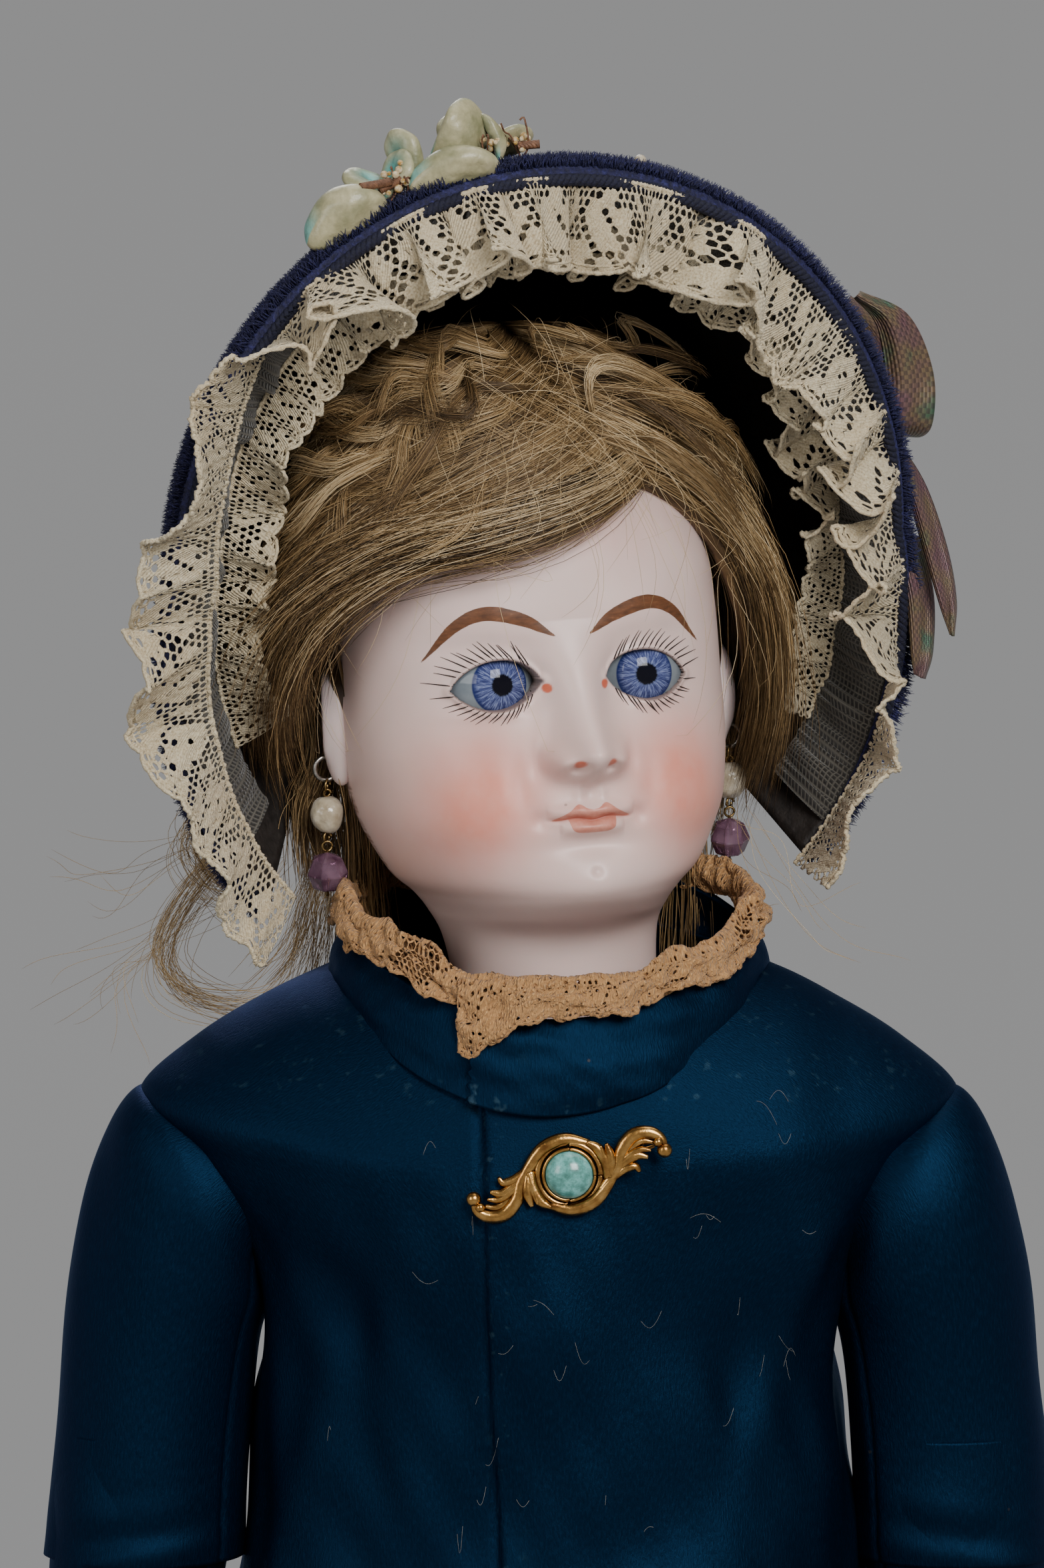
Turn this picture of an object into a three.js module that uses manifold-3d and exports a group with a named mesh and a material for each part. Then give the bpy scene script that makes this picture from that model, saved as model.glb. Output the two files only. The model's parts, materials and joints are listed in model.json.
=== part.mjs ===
// A dressed bisque-head doll on a strung, ball-jointed composition body.
// Millimetres, +Z up. The doll faces -Y, its own left hand is at +X, and it stands on z = 0.
import * as THREE from "three";
import { mergeVertices } from "three/addons/utils/BufferGeometryUtils.js";
import Module from "manifold-3d";

const wasm = await Module();
wasm.setup();

// ---- driving dimensions -------------------------------------------------------------------
const GAP = 0.4; // clearance between neighbouring pieces
const NECK = new THREE.Vector3(1, 3, 350); // pivot of the socket head
const HEAD_TURN_DEGREES = 15; // the head looks to its own left at rest
const HEAD_ROLL_DEGREES = -3.5; // crown towards its own right shoulder
const SHOULDER = new THREE.Vector3(55, 0, 329);
const ELBOW = new THREE.Vector3(71, 0, 262);
const WRIST = new THREE.Vector3(78, -4, 202);
const HIP = new THREE.Vector3(20, 0, 210);
const KNEE = new THREE.Vector3(20, 0, 115);
const ANKLE_Z = 28;
const HEM_Z = 95; // hem of the coat
const HEM_RADIUS = 106;
const COAT_WALL = 1.6;
const COLLAR_TILT_DEGREES = 13.6; // the neckline drops towards the front
const COLLAR_Z = 360;
const BALL = { neck: 19.5, shoulder: 11, elbow: 9.5, wrist: 6, hip: 14, knee: 10.5 };
const CUP_SWELL = 1.065; // clears the corners of a faceted ball
const SOLE_THICKNESS = 4;

// In the head's own frame, measured from the neck pivot.
const SKULL = new THREE.Vector3(0, 4, 78);
const SKULL_HALF = { wide: 33.5, front: 34, back: 39, up: 46, down: 51 };
const SHELL_WALL = 3.6;
const EYE = new THREE.Vector3(13, -15.5, 67);
const EYE_RADIUS = 9;
const EAR = new THREE.Vector3(33.2, 7, 60);
const EAR_HALF = [3, 6.5, 10.5];
const EAR_RING = new THREE.Vector3(36.6, 6, 50.6);
const EAR_RING_RADIUS = 2.2;
const HAIR_THICKNESS = 5.5;
const HAIRLINE_Z = 94;
const BRIM_CENTRE = new THREE.Vector3(0, -12, 88);
const BRIM_RADIUS = 68.5;
const BRIM_NARROWING = 0.94; // width over height
const BRIM_LEAN_DEGREES = 16; // the top of the brim leans forward
const BRIM_GAP_DEGREES = 82; // opening under the chin
const NET_GAP_DEGREES = 124; // the net and the inner lace stop above the ears
const BRIM_DROP = 0.233; // how much further the ends reach down than a round brim would
const BRIM_FLARE = 0.6; // radius gained for each millimetre towards the front edge

// ---- materials ------------------------------------------------------------------------------
const finish = (color, roughness, metalness = 0) =>
  new THREE.MeshStandardMaterial({ color, roughness, metalness });
const BISQUE = finish(0xe9cdc4, 0.45);
const COMPOSITION = finish(0xe2b093, 0.5);
const WOOD = finish(0xa97b4f, 0.7);
const IRON = finish(0x5a5552, 0.5, 0.8);
const ELASTIC = finish(0xe8e2d0, 0.9);
const GLASS = finish(0x5f7bc4, 0.05);
const PLASTER = finish(0xf0ece2, 0.95);
const CORK = finish(0xb98a5a, 0.95);
const MOHAIR = finish(0xa4875a, 0.6);
const SATIN = finish(0x0a2c50, 0.4);
const VELVET = finish(0x17164a, 0.9);
const LINING = finish(0x241f1c, 0.8);
const LACE = finish(0xe3d9bf, 0.9);
const COLLAR_LACE = finish(0xc7955c, 0.9);
const NET = finish(0x4a4740, 0.9);
const PETAL = finish(0xb9b48c, 0.5);
const RIBBON = finish(0x6b5a58, 0.4);
const GOLD = finish(0xb8822f, 0.3, 1);
const TURQUOISE = finish(0x5fb9ae, 0.3);
const SILVER = finish(0xb9b6ac, 0.3, 1);
const PEARL = finish(0xd9cbb0, 0.3);
const AMETHYST = finish(0x5b3350, 0.05);
const COTTON = finish(0xf1ece0, 0.9);
const LEATHER = finish(0x1d1a19, 0.4);

// ---- shape helpers --------------------------------------------------------------------------
const vec = (x, y, z) => new THREE.Vector3(x, y, z);
const mirrored = (point, side) => vec(side * point.x, point.y, point.z);
const along = (start, way, distance) => start.clone().addScaledVector(way, distance);
const direction = (from, to) => to.clone().sub(from).normalize();

// A manifold-3d solid from a closed three.js geometry.
function solid(geometry) {
  const bare = geometry.clone();
  bare.deleteAttribute("normal");
  bare.deleteAttribute("uv");
  const merged = mergeVertices(bare, 1e-4);
  return new wasm.Manifold(
    new wasm.Mesh({
      numProp: 3,
      vertProperties: merged.attributes.position.array,
      triVerts: new Uint32Array(merged.index.array),
    }),
  );
}

// A three.js geometry from a manifold-3d solid.
function geometryOf(shape) {
  const mesh = shape.getMesh();
  const geometry = new THREE.BufferGeometry();
  geometry.setAttribute("position", new THREE.BufferAttribute(mesh.vertProperties, 3));
  geometry.setIndex(new THREE.BufferAttribute(mesh.triVerts, 1));
  return geometry;
}

const minus = (shape, ...cutters) => cutters.reduce((left, cutter) => left.subtract(cutter), shape);
const plus = (shape, ...others) => others.reduce((left, other) => left.add(other), shape);
const placed = (shape, at) => shape.translate([at.x, at.y, at.z]);

// Oval sections [z, half width, half depth, centre y, centre x] joined into one closed stack.
// `grow` moves every wall outwards, and both ends too.
function stack(sections, sides = 12, grow = 0) {
  const rows = sections.length - 1;
  const geometry = new THREE.CylinderGeometry(1, 1, rows, sides, rows);
  const at = geometry.attributes.position;
  for (let i = 0; i < at.count; i += 1) {
    const row = Math.round(at.getY(i) + rows / 2);
    const [z, wide, deep, y = 0, x = 0] = sections[row];
    const end = row === rows ? grow : row === 0 ? -grow : 0;
    at.setXYZ(i, x + at.getX(i) * (wide + grow), y - at.getZ(i) * (deep + grow), z + end);
  }
  return solid(geometry);
}

const oval = (centre, half, across = 10, up = 6) =>
  placed(solid(new THREE.SphereGeometry(1, across, up).rotateX(Math.PI / 2).scale(...half)), centre);

const ball = (centre, radius, across = 12, up = 7) =>
  oval(centre, [radius, radius, radius], across, up);

// The socket that a faceted ball turns in without touching.
const cup = (centre, radius) => ball(centre, radius * CUP_SWELL + GAP);

const box = (low, high) =>
  placed(
    solid(new THREE.BoxGeometry(high[0] - low[0], high[1] - low[1], high[2] - low[2])),
    vec((low[0] + high[0]) / 2, (low[1] + high[1]) / 2, (low[2] + high[2]) / 2),
  );

// A round bar between two points, with a radius at each end.
function bar(from, to, startRadius, endRadius = startRadius, sides = 8) {
  const geometry = new THREE.CylinderGeometry(endRadius, startRadius, from.distanceTo(to), sides);
  const turn = new THREE.Quaternion().setFromUnitVectors(vec(0, 1, 0), direction(from, to));
  return placed(solid(geometry.applyQuaternion(turn)), from.clone().lerp(to, 0.5));
}

// The outline [radius, height] as a closed loop that a lathe turns into an outward-facing ring.
function closedLoop(outline) {
  const points = outline.map(([r, h]) => new THREE.Vector2(r, h));
  const loop = THREE.ShapeUtils.isClockWise(points) ? points.reverse() : points;
  return [...loop, loop[0]];
}

// A ring about +Z whose section is the closed outline [radius, height].
const ring = (outline, sides = 32) =>
  solid(new THREE.LatheGeometry(closedLoop(outline), sides).rotateX(Math.PI / 2));

// A round wire along a smooth curve through the points.
function wire(points, radius, steps, sides = 6) {
  const section = new THREE.Shape().absarc(0, 0, radius, 0, 2 * Math.PI);
  return solid(
    new THREE.ExtrudeGeometry(section, {
      extrudePath: new THREE.CatmullRomCurve3(points),
      steps,
      curveSegments: sides / 2,
      bevelEnabled: false,
    }),
  );
}

// ---- assembly ---------------------------------------------------------------------------------
const doll = new THREE.Group();
const head = new THREE.Group();
head.position.copy(NECK);
head.rotation.set(
  0,
  THREE.MathUtils.degToRad(HEAD_ROLL_DEGREES),
  THREE.MathUtils.degToRad(HEAD_TURN_DEGREES),
  "ZYX",
);
doll.add(head);
doll.updateMatrixWorld(true);

const SIDES = [
  [1, "l"],
  [-1, "r"],
];

function add(group, name, shape, material) {
  const mesh = new THREE.Mesh(geometryOf(shape), material);
  mesh.name = name;
  group.add(mesh);
}

// ---- torso and its stringing --------------------------------------------------------------------
const TORSO = [
  [198, 12, 12],
  [205, 33, 23],
  [225, 43, 28, 2],
  [262, 36, 24],
  [300, 40, 26],
  [325, 45, 25],
  [338, 41, 24],
  [346, 27, 23],
];
const TORSO_CAVITY = [
  [216, 22, 16],
  [230, 37, 22, 2],
  [262, 30, 18],
  [300, 34, 20],
  [318, 34, 18],
  [326, 25, 14],
];
const SOCKET_WALL = 6;
const HIP_FLARE = 22; // radius of the hip opening at the seat
const STRIDE_FLARE = 18; // and towards the front, where the thigh swings
const CORD_HOLE = 4;
const HOOK_HOLE = 7;

function torso() {
  const openings = [];
  for (const [side] of SIDES) {
    const hip = mirrored(HIP, side);
    const shoulder = mirrored(SHOULDER, side);
    openings.push(cup(hip, BALL.hip));
    openings.push(bar(vec(hip.x, 0, 180), hip, HIP_FLARE, BALL.hip * CUP_SWELL + GAP));
    const stride = hip.clone().add(vec(0, -15, -26));
    openings.push(bar(stride, hip, STRIDE_FLARE, BALL.hip * CUP_SWELL + GAP));
    openings.push(bar(hip, vec(hip.x, 0, 235), CORD_HOLE));
    openings.push(cup(shoulder, BALL.shoulder));
    openings.push(bar(vec(side * 20, 0, SHOULDER.z - 6), shoulder, CORD_HOLE));
  }
  const cavity = minus(stack(TORSO_CAVITY), ball(NECK, BALL.neck + SOCKET_WALL));
  const hookHole = bar(vec(NECK.x, NECK.y, 312), NECK, HOOK_HOLE);
  return minus(stack(TORSO), cavity, cup(NECK, BALL.neck), hookHole, ...openings);
}
add(doll, "torso", torso(), COMPOSITION);

const HOOK_EYE = vec(NECK.x + 2, NECK.y, NECK.z - 33);
const ARM_ELASTIC_RADIUS = 1.2;
const LEG_ELASTIC_RADIUS = 1.3;
const armElasticLine = [
  [-36, 0, 325.7],
  [-20, -3, 319],
  [0, -7, 309],
  [20, -3, 319],
  [36, 0, 325.7],
].map(([x, y, z]) => vec(x, y, z));
add(doll, "arm_elastic", wire(armElasticLine, ARM_ELASTIC_RADIUS, 12), ELASTIC);
const legElasticLine = [
  [-20, 230],
  [-13, 262],
  [HOOK_EYE.x - 8, HOOK_EYE.z - 3],
  [HOOK_EYE.x, HOOK_EYE.z],
  [HOOK_EYE.x + 8, HOOK_EYE.z - 3],
  [13, 262],
  [20, 230],
].map(([x, z]) => vec(x, NECK.y, z));
add(doll, "leg_elastic", wire(legElasticLine, LEG_ELASTIC_RADIUS, 24), ELASTIC);

// ---- coat ---------------------------------------------------------------------------------------
const COAT = [
  [HEM_Z, HEM_RADIUS, HEM_RADIUS],
  [122, 91, 89],
  [150, 78, 72],
  [175, 67, 57],
  [200, 61.5, 49],
  [232, 56, 42],
  [265, 52, 37.5],
  [300, 49.5, 35.5],
  [343, 49, 32],
  [353, 45, 29],
  [360, 37.5, 28.5],
];
const HEM_SIDES = 20;

// The space that the arm sweeps as it turns about the shoulder's cross axis: [radius, x].
const ARM_SPACE = [
  [0, 43],
  [12, 43],
  [19, 48],
  [19, 90],
  [0, 90],
];

function armSweep(side) {
  const outline = ARM_SPACE.map(([r, x]) => new THREE.Vector2(r, x));
  const sweep = solid(new THREE.LatheGeometry(outline, 16).rotateZ(-Math.PI / 2));
  const turned = side > 0 ? sweep : sweep.mirror([1, 0, 0]);
  return turned.translate([0, 0, SHOULDER.z]);
}

// A shape about the neck, in the tilted plane of the collar.
const onCollar = (shape) =>
  shape.scale([1, 0.92, 1]).rotate([COLLAR_TILT_DEGREES, 0, 0]).translate([0, 0, COLLAR_Z]);

const COLLAR_SIDES = 20;
const NECKLINE = [
  [-9, 34.2, 34.2],
  [30, 34.2, 34.2],
];
const NECK_WELL = [
  [335, 27, 24],
  [365, 27, 24],
];

function coatBody() {
  const inside = COAT.map(([z, wide, deep]) => [z, wide - COAT_WALL, deep - COAT_WALL]);
  inside[0][0] -= 1; // so that the hem is open
  return minus(
    stack(COAT, HEM_SIDES),
    stack(inside, HEM_SIDES),
    onCollar(stack(NECKLINE, COLLAR_SIDES)),
    stack(NECK_WELL),
    armSweep(1),
    armSweep(-1),
  );
}
add(doll, "coat_body", coatBody(), SATIN);

const collarBand = [
  [31.4, -8.4],
  [33, -8.4],
  [33, 6],
  [31.4, 6],
];
add(doll, "coat_collar", onCollar(ring(collarBand, COLLAR_SIDES)), SATIN);
const laceFold = [
  [30.6, 6.6],
  [34.4, 6.6],
  [37.4, 4.8],
  [38.4, 6],
  [36, 9.6],
  [32, 10.6],
  [30.6, 9.6],
];
add(doll, "collar_lace", onCollar(ring(laceFold, COLLAR_SIDES)), COLLAR_LACE);

// Petticoat: a plain cotton bell between the coat and the legs.
const PETTICOAT = [
  [99, 99, 98],
  [122, 86, 83],
  [150, 73, 66],
  [175, 62.5, 52],
  [200, 57, 43.5],
  [216, 54, 40],
];
const PETTICOAT_WALL = 1.2;

function petticoat() {
  const inner = PETTICOAT.map(([z, wide, deep]) => [z, wide - PETTICOAT_WALL, deep - PETTICOAT_WALL]);
  inner[0][0] -= 2; // open at the hem
  inner[inner.length - 1][0] += 2; // and at the waist
  return minus(stack(PETTICOAT, HEM_SIDES), stack(inner, HEM_SIDES));
}
add(doll, "petticoat", petticoat(), COTTON);

// ---- brooch at the throat: gilt mount, stone, and the pin stem behind ---------------------------
const BROOCH = vec(3, -37.6, 333.3);
const BROOCH_SLOPE_DEGREES = 25;
const BROOCH_HALF_LENGTH = 17.6;
const STONE_HALF = [4.5, 2.8, 4.5];
const onBrooch = (shape) => placed(shape.rotate([0, -BROOCH_SLOPE_DEGREES, 0]), BROOCH);

function broochMount() {
  const ends = [-1, 1].flatMap((side) => [
    bar(vec(side * 17, 0, side * 1.5), vec(0, 0, 0), 1.5, 3.2, 8),
    ball(vec(side * BROOCH_HALF_LENGTH, 0, side * 0.5), 1.8, 8, 5),
  ]);
  const disc = oval(vec(0, 0, 0), [9, 1.6, 6.4], 10, 5);
  const seat = oval(vec(0, -1, 0), STONE_HALF.map((half) => half + GAP), 8, 5);
  return minus(plus(disc, ...ends), seat);
}
add(doll, "brooch_mount", onBrooch(broochMount()), GOLD);
add(doll, "brooch_stone", onBrooch(oval(vec(0, -1, 0), STONE_HALF, 8, 5)), TURQUOISE);
const pinLine = [vec(-14, 2.6, 0), vec(-11, 3.6, 0), vec(11, 3.6, 0), vec(14, 2.6, 0)];
add(doll, "brooch_pin", onBrooch(wire(pinLine, 0.45, 10)), GOLD);

// ---- neck button, hook and spring, which pull the head into its socket ---------------------------
const ORIGIN = vec(0, 0, 0);
const BUTTON_RADIUS = 14;
const buttonTop = box([-20, -20, 2], [20, 20, 20]);
const stemHole = bar(vec(0, 0, -20), vec(0, 0, 20), 2);
add(head, "neck_button", minus(ball(ORIGIN, BUTTON_RADIUS), buttonTop, stemHole), WOOD);

const SPRING = { radius: 3.4, wire: 0.5, turns: 4, base: 3, height: 10 };
class Coil extends THREE.Curve {
  getPoint(share) {
    const turn = share * SPRING.turns * 2 * Math.PI;
    const z = SPRING.base + share * SPRING.height;
    return vec(SPRING.radius * Math.cos(turn), SPRING.radius * Math.sin(turn), z);
  }
}
function neckSpring() {
  const section = new THREE.Shape().absarc(0, 0, SPRING.wire, 0, 2 * Math.PI);
  const settings = { extrudePath: new Coil(), steps: 32, curveSegments: 2, bevelEnabled: false };
  return solid(new THREE.ExtrudeGeometry(section, settings));
}
add(head, "neck_spring", neckSpring(), IRON);

function neckHook() {
  const hookLine = [
    [0, 14.5],
    [0, 0],
    [0, -22],
    [2.4, -27],
    [3.6, -32],
    [2.4, -35.6],
    [0, -36.6],
    [-2.6, -35.4],
    [-3.6, -32.4],
  ].map(([y, z]) => vec(0, y, z));
  return plus(wire(hookLine, 1.1, 22), bar(vec(0, 0, 14), vec(0, 0, 16), 4.4, 4.4, 8));
}
add(head, "neck_hook", neckHook(), IRON);

// ---- head ---------------------------------------------------------------------------------------
// The skull's rounded form, fuller at the cheeks and narrower at the jaw.
function skull(grow, across = 16, up = 10) {
  const geometry = new THREE.SphereGeometry(1, across, up).rotateX(Math.PI / 2);
  const at = geometry.attributes.position;
  for (let i = 0; i < at.count; i += 1) {
    const [x, y, z] = [at.getX(i), at.getY(i), at.getZ(i)];
    const below = Math.max(0, -z);
    const jaw = (1 - 0.3 * below ** 3) * (1 + 0.1 * Math.exp(-(((z + 0.45) / 0.3) ** 2)));
    const depth = (y < 0 ? SKULL_HALF.front : SKULL_HALF.back) * (1 - 0.1 * below);
    const height = z > 0 ? SKULL_HALF.up : SKULL_HALF.down;
    at.setXYZ(i, x * (SKULL_HALF.wide * jaw + grow), y * (depth + grow), z * (height + grow));
  }
  return placed(solid(geometry), SKULL);
}

// A pointed oval cut through the face, the eye opening.
const EYE_OPENING = { half: 7.6, up: 9.5, down: -8.5 };

function eyeHole(side) {
  const outline = new THREE.Shape();
  outline.moveTo(-EYE_OPENING.half, 0);
  outline.quadraticCurveTo(0, EYE_OPENING.up, EYE_OPENING.half, 0);
  outline.quadraticCurveTo(0, EYE_OPENING.down, -EYE_OPENING.half, 0);
  const geometry = new THREE.ExtrudeGeometry(outline, {
    depth: 30,
    bevelEnabled: false,
    curveSegments: 4,
  });
  return placed(solid(geometry.rotateX(Math.PI / 2)), vec(side * EYE.x, EYE.y, EYE.z));
}

const NECK_SECTIONS = [
  [0, 18, 18],
  [14, 17.6, 17.6],
  [28, 18.5, 19, 1],
  [44, 23, 23, 3],
];
const CROWN_CUT_Z = 104;
const CROWN_CUT_DEGREES = -22;
const aboveCrownCut = () =>
  box([-60, -80, 0], [60, 80, 60])
    .rotate([CROWN_CUT_DEGREES, 0, 0])
    .translate([0, SKULL.y, CROWN_CUT_Z]);
const earRing = (side, grow) => {
  const at = mirrored(EAR_RING, side);
  const hoop = new THREE.TorusGeometry(EAR_RING_RADIUS, 0.45 + grow, 4, 8).rotateX(Math.PI / 2);
  return placed(solid(hoop), at);
};
const ears = (grow) =>
  SIDES.map(([side]) => oval(mirrored(EAR, side), EAR_HALF.map((half) => half + grow), 8, 6));

function headShell() {
  const features = [
    bar(vec(0, -29, 68), vec(0, -34, 56), 2.2, 4.6, 8),
    oval(vec(0, -34.5, 55), [5.6, 6.5, 4], 8, 5),
    oval(vec(0, -29, 44), [8, 4.6, 4.2], 8, 5),
    oval(vec(0, -20, 36), [13, 8.5, 9], 8, 5),
  ];
  const neckBall = minus(ball(ORIGIN, BALL.neck, 14, 8), box([-25, -25, 6], [25, 25, 25]));
  const outside = plus(skull(0), stack(NECK_SECTIONS), neckBall, ...features, ...ears(0));
  const neckBore = NECK_SECTIONS.map(([z, wide, deep, y]) => [
    z,
    wide - SHELL_WALL,
    deep - SHELL_WALL,
    y,
  ]);
  return minus(
    outside,
    skull(-SHELL_WALL, 12, 8),
    stack(neckBore, 12, 0.01),
    cup(ORIGIN, BUTTON_RADIUS),
    bar(vec(0, 0, -22), vec(0, 0, -8), 6),
    cup(EYE, EYE_RADIUS),
    cup(mirrored(EYE, -1), EYE_RADIUS),
    eyeHole(1),
    eyeHole(-1),
    aboveCrownCut(),
    earRing(1, GAP),
    earRing(-1, GAP),
  );
}
add(head, "head_shell", headShell(), BISQUE);

for (const [side, letter] of SIDES) {
  add(head, `eye_${letter}`, ball(mirrored(EYE, side), EYE_RADIUS), GLASS);
}

function eyePlaster() {
  const lumps = SIDES.map(([side]) => oval(vec(side * EYE.x, -8, EYE.z), [15, 9, 10], 8, 5));
  const seats = SIDES.map(([side]) => cup(mirrored(EYE, side), EYE_RADIUS));
  const front = box([-40, -60, 30], [40, EYE.y + 1, 100]);
  return minus(plus(...lumps), ...seats, front).intersect(skull(-SHELL_WALL - GAP, 12, 8));
}
add(head, "eye_plaster", eyePlaster(), PLASTER);

// Cork pate: a shallow dome that closes the open crown, under the wig.
function pate() {
  const dome = skull(0).intersect(aboveCrownCut().translate([0, 0, GAP]));
  return minus(dome, skull(-SHELL_WALL - 1, 12, 8));
}
add(head, "pate", pate(), CORK);

// ---- wig: a cap that is open over the face and stops above the ear lobes --------------------------
function wig() {
  const openings = [
    box([-60, -80, 0], [60, -8, HAIRLINE_Z]),
    box([-60, -80, 0], [60, 24, EAR.z - 2]),
    box([-60, -80, 0], [60, 80, 36]),
  ];
  const neckSpace = stack(NECK_SECTIONS, 14, GAP);
  const hair = plus(skull(HAIR_THICKNESS), oval(vec(0, 30, 52), [31, 16, 26]));
  return minus(hair, skull(GAP), neckSpace, ...openings, ...ears(GAP));
}
add(head, "wig", wig(), MOHAIR);

// ---- bonnet -------------------------------------------------------------------------------------
// Outlines are [radius, depth behind the brim's front edge], in the brim's own tilted frame,
// where the second axis points down to the chin.
const DROP_DEPTH = 50; // behind this depth the brim is round

function horseshoe(loop, sides = 24) {
  const geometry = new THREE.LatheGeometry(loop, sides).rotateX(Math.PI / 2);
  const at = geometry.attributes.position;
  for (let i = 0; i < at.count; i += 1) {
    const radius = Math.max(1e-6, Math.hypot(at.getX(i), at.getY(i)));
    const down = Math.max(0, at.getY(i) / radius);
    const fade = THREE.MathUtils.clamp(1 - at.getZ(i) / DROP_DEPTH, 0, 1);
    const stretch = 1 + BRIM_DROP * down * fade;
    at.setX(i, at.getX(i) * stretch * BRIM_NARROWING);
    at.setY(i, at.getY(i) * stretch);
  }
  return solid(geometry);
}

const onBrim = (shape) => placed(shape.rotate([BRIM_LEAN_DEGREES - 90, 0, 0]), BRIM_CENTRE);

function chinOpening(degrees) {
  const reach = 320;
  const half = THREE.MathUtils.degToRad(degrees / 2);
  const outline = new THREE.Shape();
  outline.moveTo(0, 4);
  outline.lineTo(reach * Math.sin(half), 4 + reach * Math.cos(half));
  outline.lineTo(-reach * Math.sin(half), 4 + reach * Math.cos(half));
  const wedge = new THREE.ExtrudeGeometry(outline, { depth: 160, bevelEnabled: false });
  return solid(wedge.translate(0, 0, -60));
}

const CROWN = [
  [0, 70],
  [24, 68.5],
  [39, 62],
  [47, 51],
  [49, 36],
  [57, 19],
  [BRIM_RADIUS - 1.5, 3],
  [BRIM_RADIUS, 0],
];
const inset = (points, by) =>
  points.map(([r, depth]) => [Math.max(0, r - by), r < 48 ? depth - by : depth]);
const flatPoints = (outline) => outline.map(([r, depth]) => new THREE.Vector2(r, depth));
const shellOf = (outer, inner) =>
  onBrim(
    minus(
      horseshoe(flatPoints([...inner, ...outer.slice().reverse()])),
      chinOpening(BRIM_GAP_DEGREES),
    ),
  );
const bandOf = (outline, gapDegrees) =>
  onBrim(minus(horseshoe(closedLoop(outline)), chinOpening(gapDegrees)));

const brimEdge = CROWN.slice(0, -1);
add(head, "bonnet", shellOf(CROWN, inset(CROWN, 1.6)), VELVET);
add(head, "bonnet_lining", shellOf(inset(brimEdge, 2.5), inset(brimEdge, 3.3)), LINING);

const liningRadius = (depth) => BRIM_RADIUS - 4.6 - BRIM_FLARE * depth;
const laceOuter = [
  [BRIM_RADIUS - 0.5, -0.8],
  [BRIM_RADIUS - 4, -0.8],
  [BRIM_RADIUS - 6, -5],
  [BRIM_RADIUS - 12, -7],
  [BRIM_RADIUS - 12, -9],
  [BRIM_RADIUS - 4, -11],
  [BRIM_RADIUS + 0.5, -6],
];
add(head, "lace_outer", bandOf(laceOuter, BRIM_GAP_DEGREES), LACE);
const net = [
  [liningRadius(2), 2],
  [liningRadius(2) - 1, 2],
  [liningRadius(13) - 1, 13],
  [liningRadius(13), 13],
];
add(head, "bonnet_net", bandOf(net, NET_GAP_DEGREES), NET);
const laceInner = [
  [liningRadius(14), 14],
  [liningRadius(14) - 9, 8],
  [liningRadius(14) - 10, 9.6],
  [liningRadius(18) - 2, 18],
  [liningRadius(18), 18],
];
add(head, "lace_inner", bandOf(laceInner, NET_GAP_DEGREES), LACE);

// Trimmings set against the outside of the brim: turn about its axis from the doll's left,
// radius, depth behind the edge, and half sizes outwards, around and back.
const swollen = CROWN.map(([r, depth]) => [r > 0 ? r + GAP : 0, depth + GAP]);
const bonnetSpace = onBrim(
  horseshoe(flatPoints([[0, -4], [BRIM_RADIUS + GAP, -4], ...swollen.reverse()])),
);

function trimming(turnDegrees, radius, depth, half) {
  const blob = solid(new THREE.SphereGeometry(1, 10, 6).scale(...half));
  const onEdge = blob.translate([radius, 0, depth]).rotate([0, 0, -turnDegrees]);
  return minus(onBrim(onEdge.scale([BRIM_NARROWING, 1, 1])), bonnetSpace);
}
add(head, "flower_low", trimming(122, 70, 10, [4, 9, 8]), PETAL);
add(head, "flower_top", trimming(101, 71, 11, [6, 12, 8]), PETAL);
add(head, "ribbon_bow", trimming(18, 63, 26, [11, 12, 9]), RIBBON);
add(head, "ribbon_tail", trimming(-12, 61, 28, [9, 14, 7]), RIBBON);

// ---- earrings: a ring through the lobe, a pearl hanging from it and a bead from that --------------
const PEARL_TO_BEAD = 10.6;
for (const [side, letter] of SIDES) {
  add(head, `ear_ring_${letter}`, earRing(side, 0), SILVER);
  const below = mirrored(EAR_RING, side).add(vec(0, 0, -EAR_RING_RADIUS - 1));
  const drop = new THREE.Group();
  drop.position.copy(head.localToWorld(below));
  doll.add(drop);
  const pearl = plus(bar(vec(0, 0, 0), vec(0, 0, -9.8), 0.5, 0.5, 6), ball(vec(0, 0, -5), 2.9, 10, 6));
  add(drop, `pearl_drop_${letter}`, pearl, PEARL);
  const stem = bar(vec(0, 0, 0.2 - PEARL_TO_BEAD), vec(0, 0, -14), 0.5, 0.5, 6);
  add(drop, `amethyst_drop_${letter}`, plus(stem, ball(vec(0, 0, -16), 3.5, 8, 5)), AMETHYST);
}

// ---- arms -----------------------------------------------------------------------------------------
const SLEEVE = { head: 17.5, middle: 16, elbow: 15.5, cuff: 11.5, wall: 3 };
const SLEEVE_BORE = { head: 14, middle: 13.8, elbow: 12 };
const SLEEVE_SEAM = 1.3; // each part stops this far from the seam above the elbow
const SLEEVE_INBOARD = 50.5; // the sleeve head starts at this x, inside the armhole
const SLEEVE_OFFSET = 3.5; // the upper sleeve hangs this far outboard of the arm
const MID_ARM = 0.5; // the sleeve's upper and lower parts meet at this share of the upper arm

// The coat and a clearance around it, which the sleeve heads are trimmed to.
const coatSpace = stack(COAT.map(([z, wide, deep]) => [z, wide - 0.1, deep - 0.1]), HEM_SIDES, GAP);
const inboardOf = (side) =>
  side > 0
    ? box([-80, -60, 260], [SLEEVE_INBOARD, 60, 380])
    : box([-SLEEVE_INBOARD, -60, 260], [80, 60, 380]);

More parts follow.
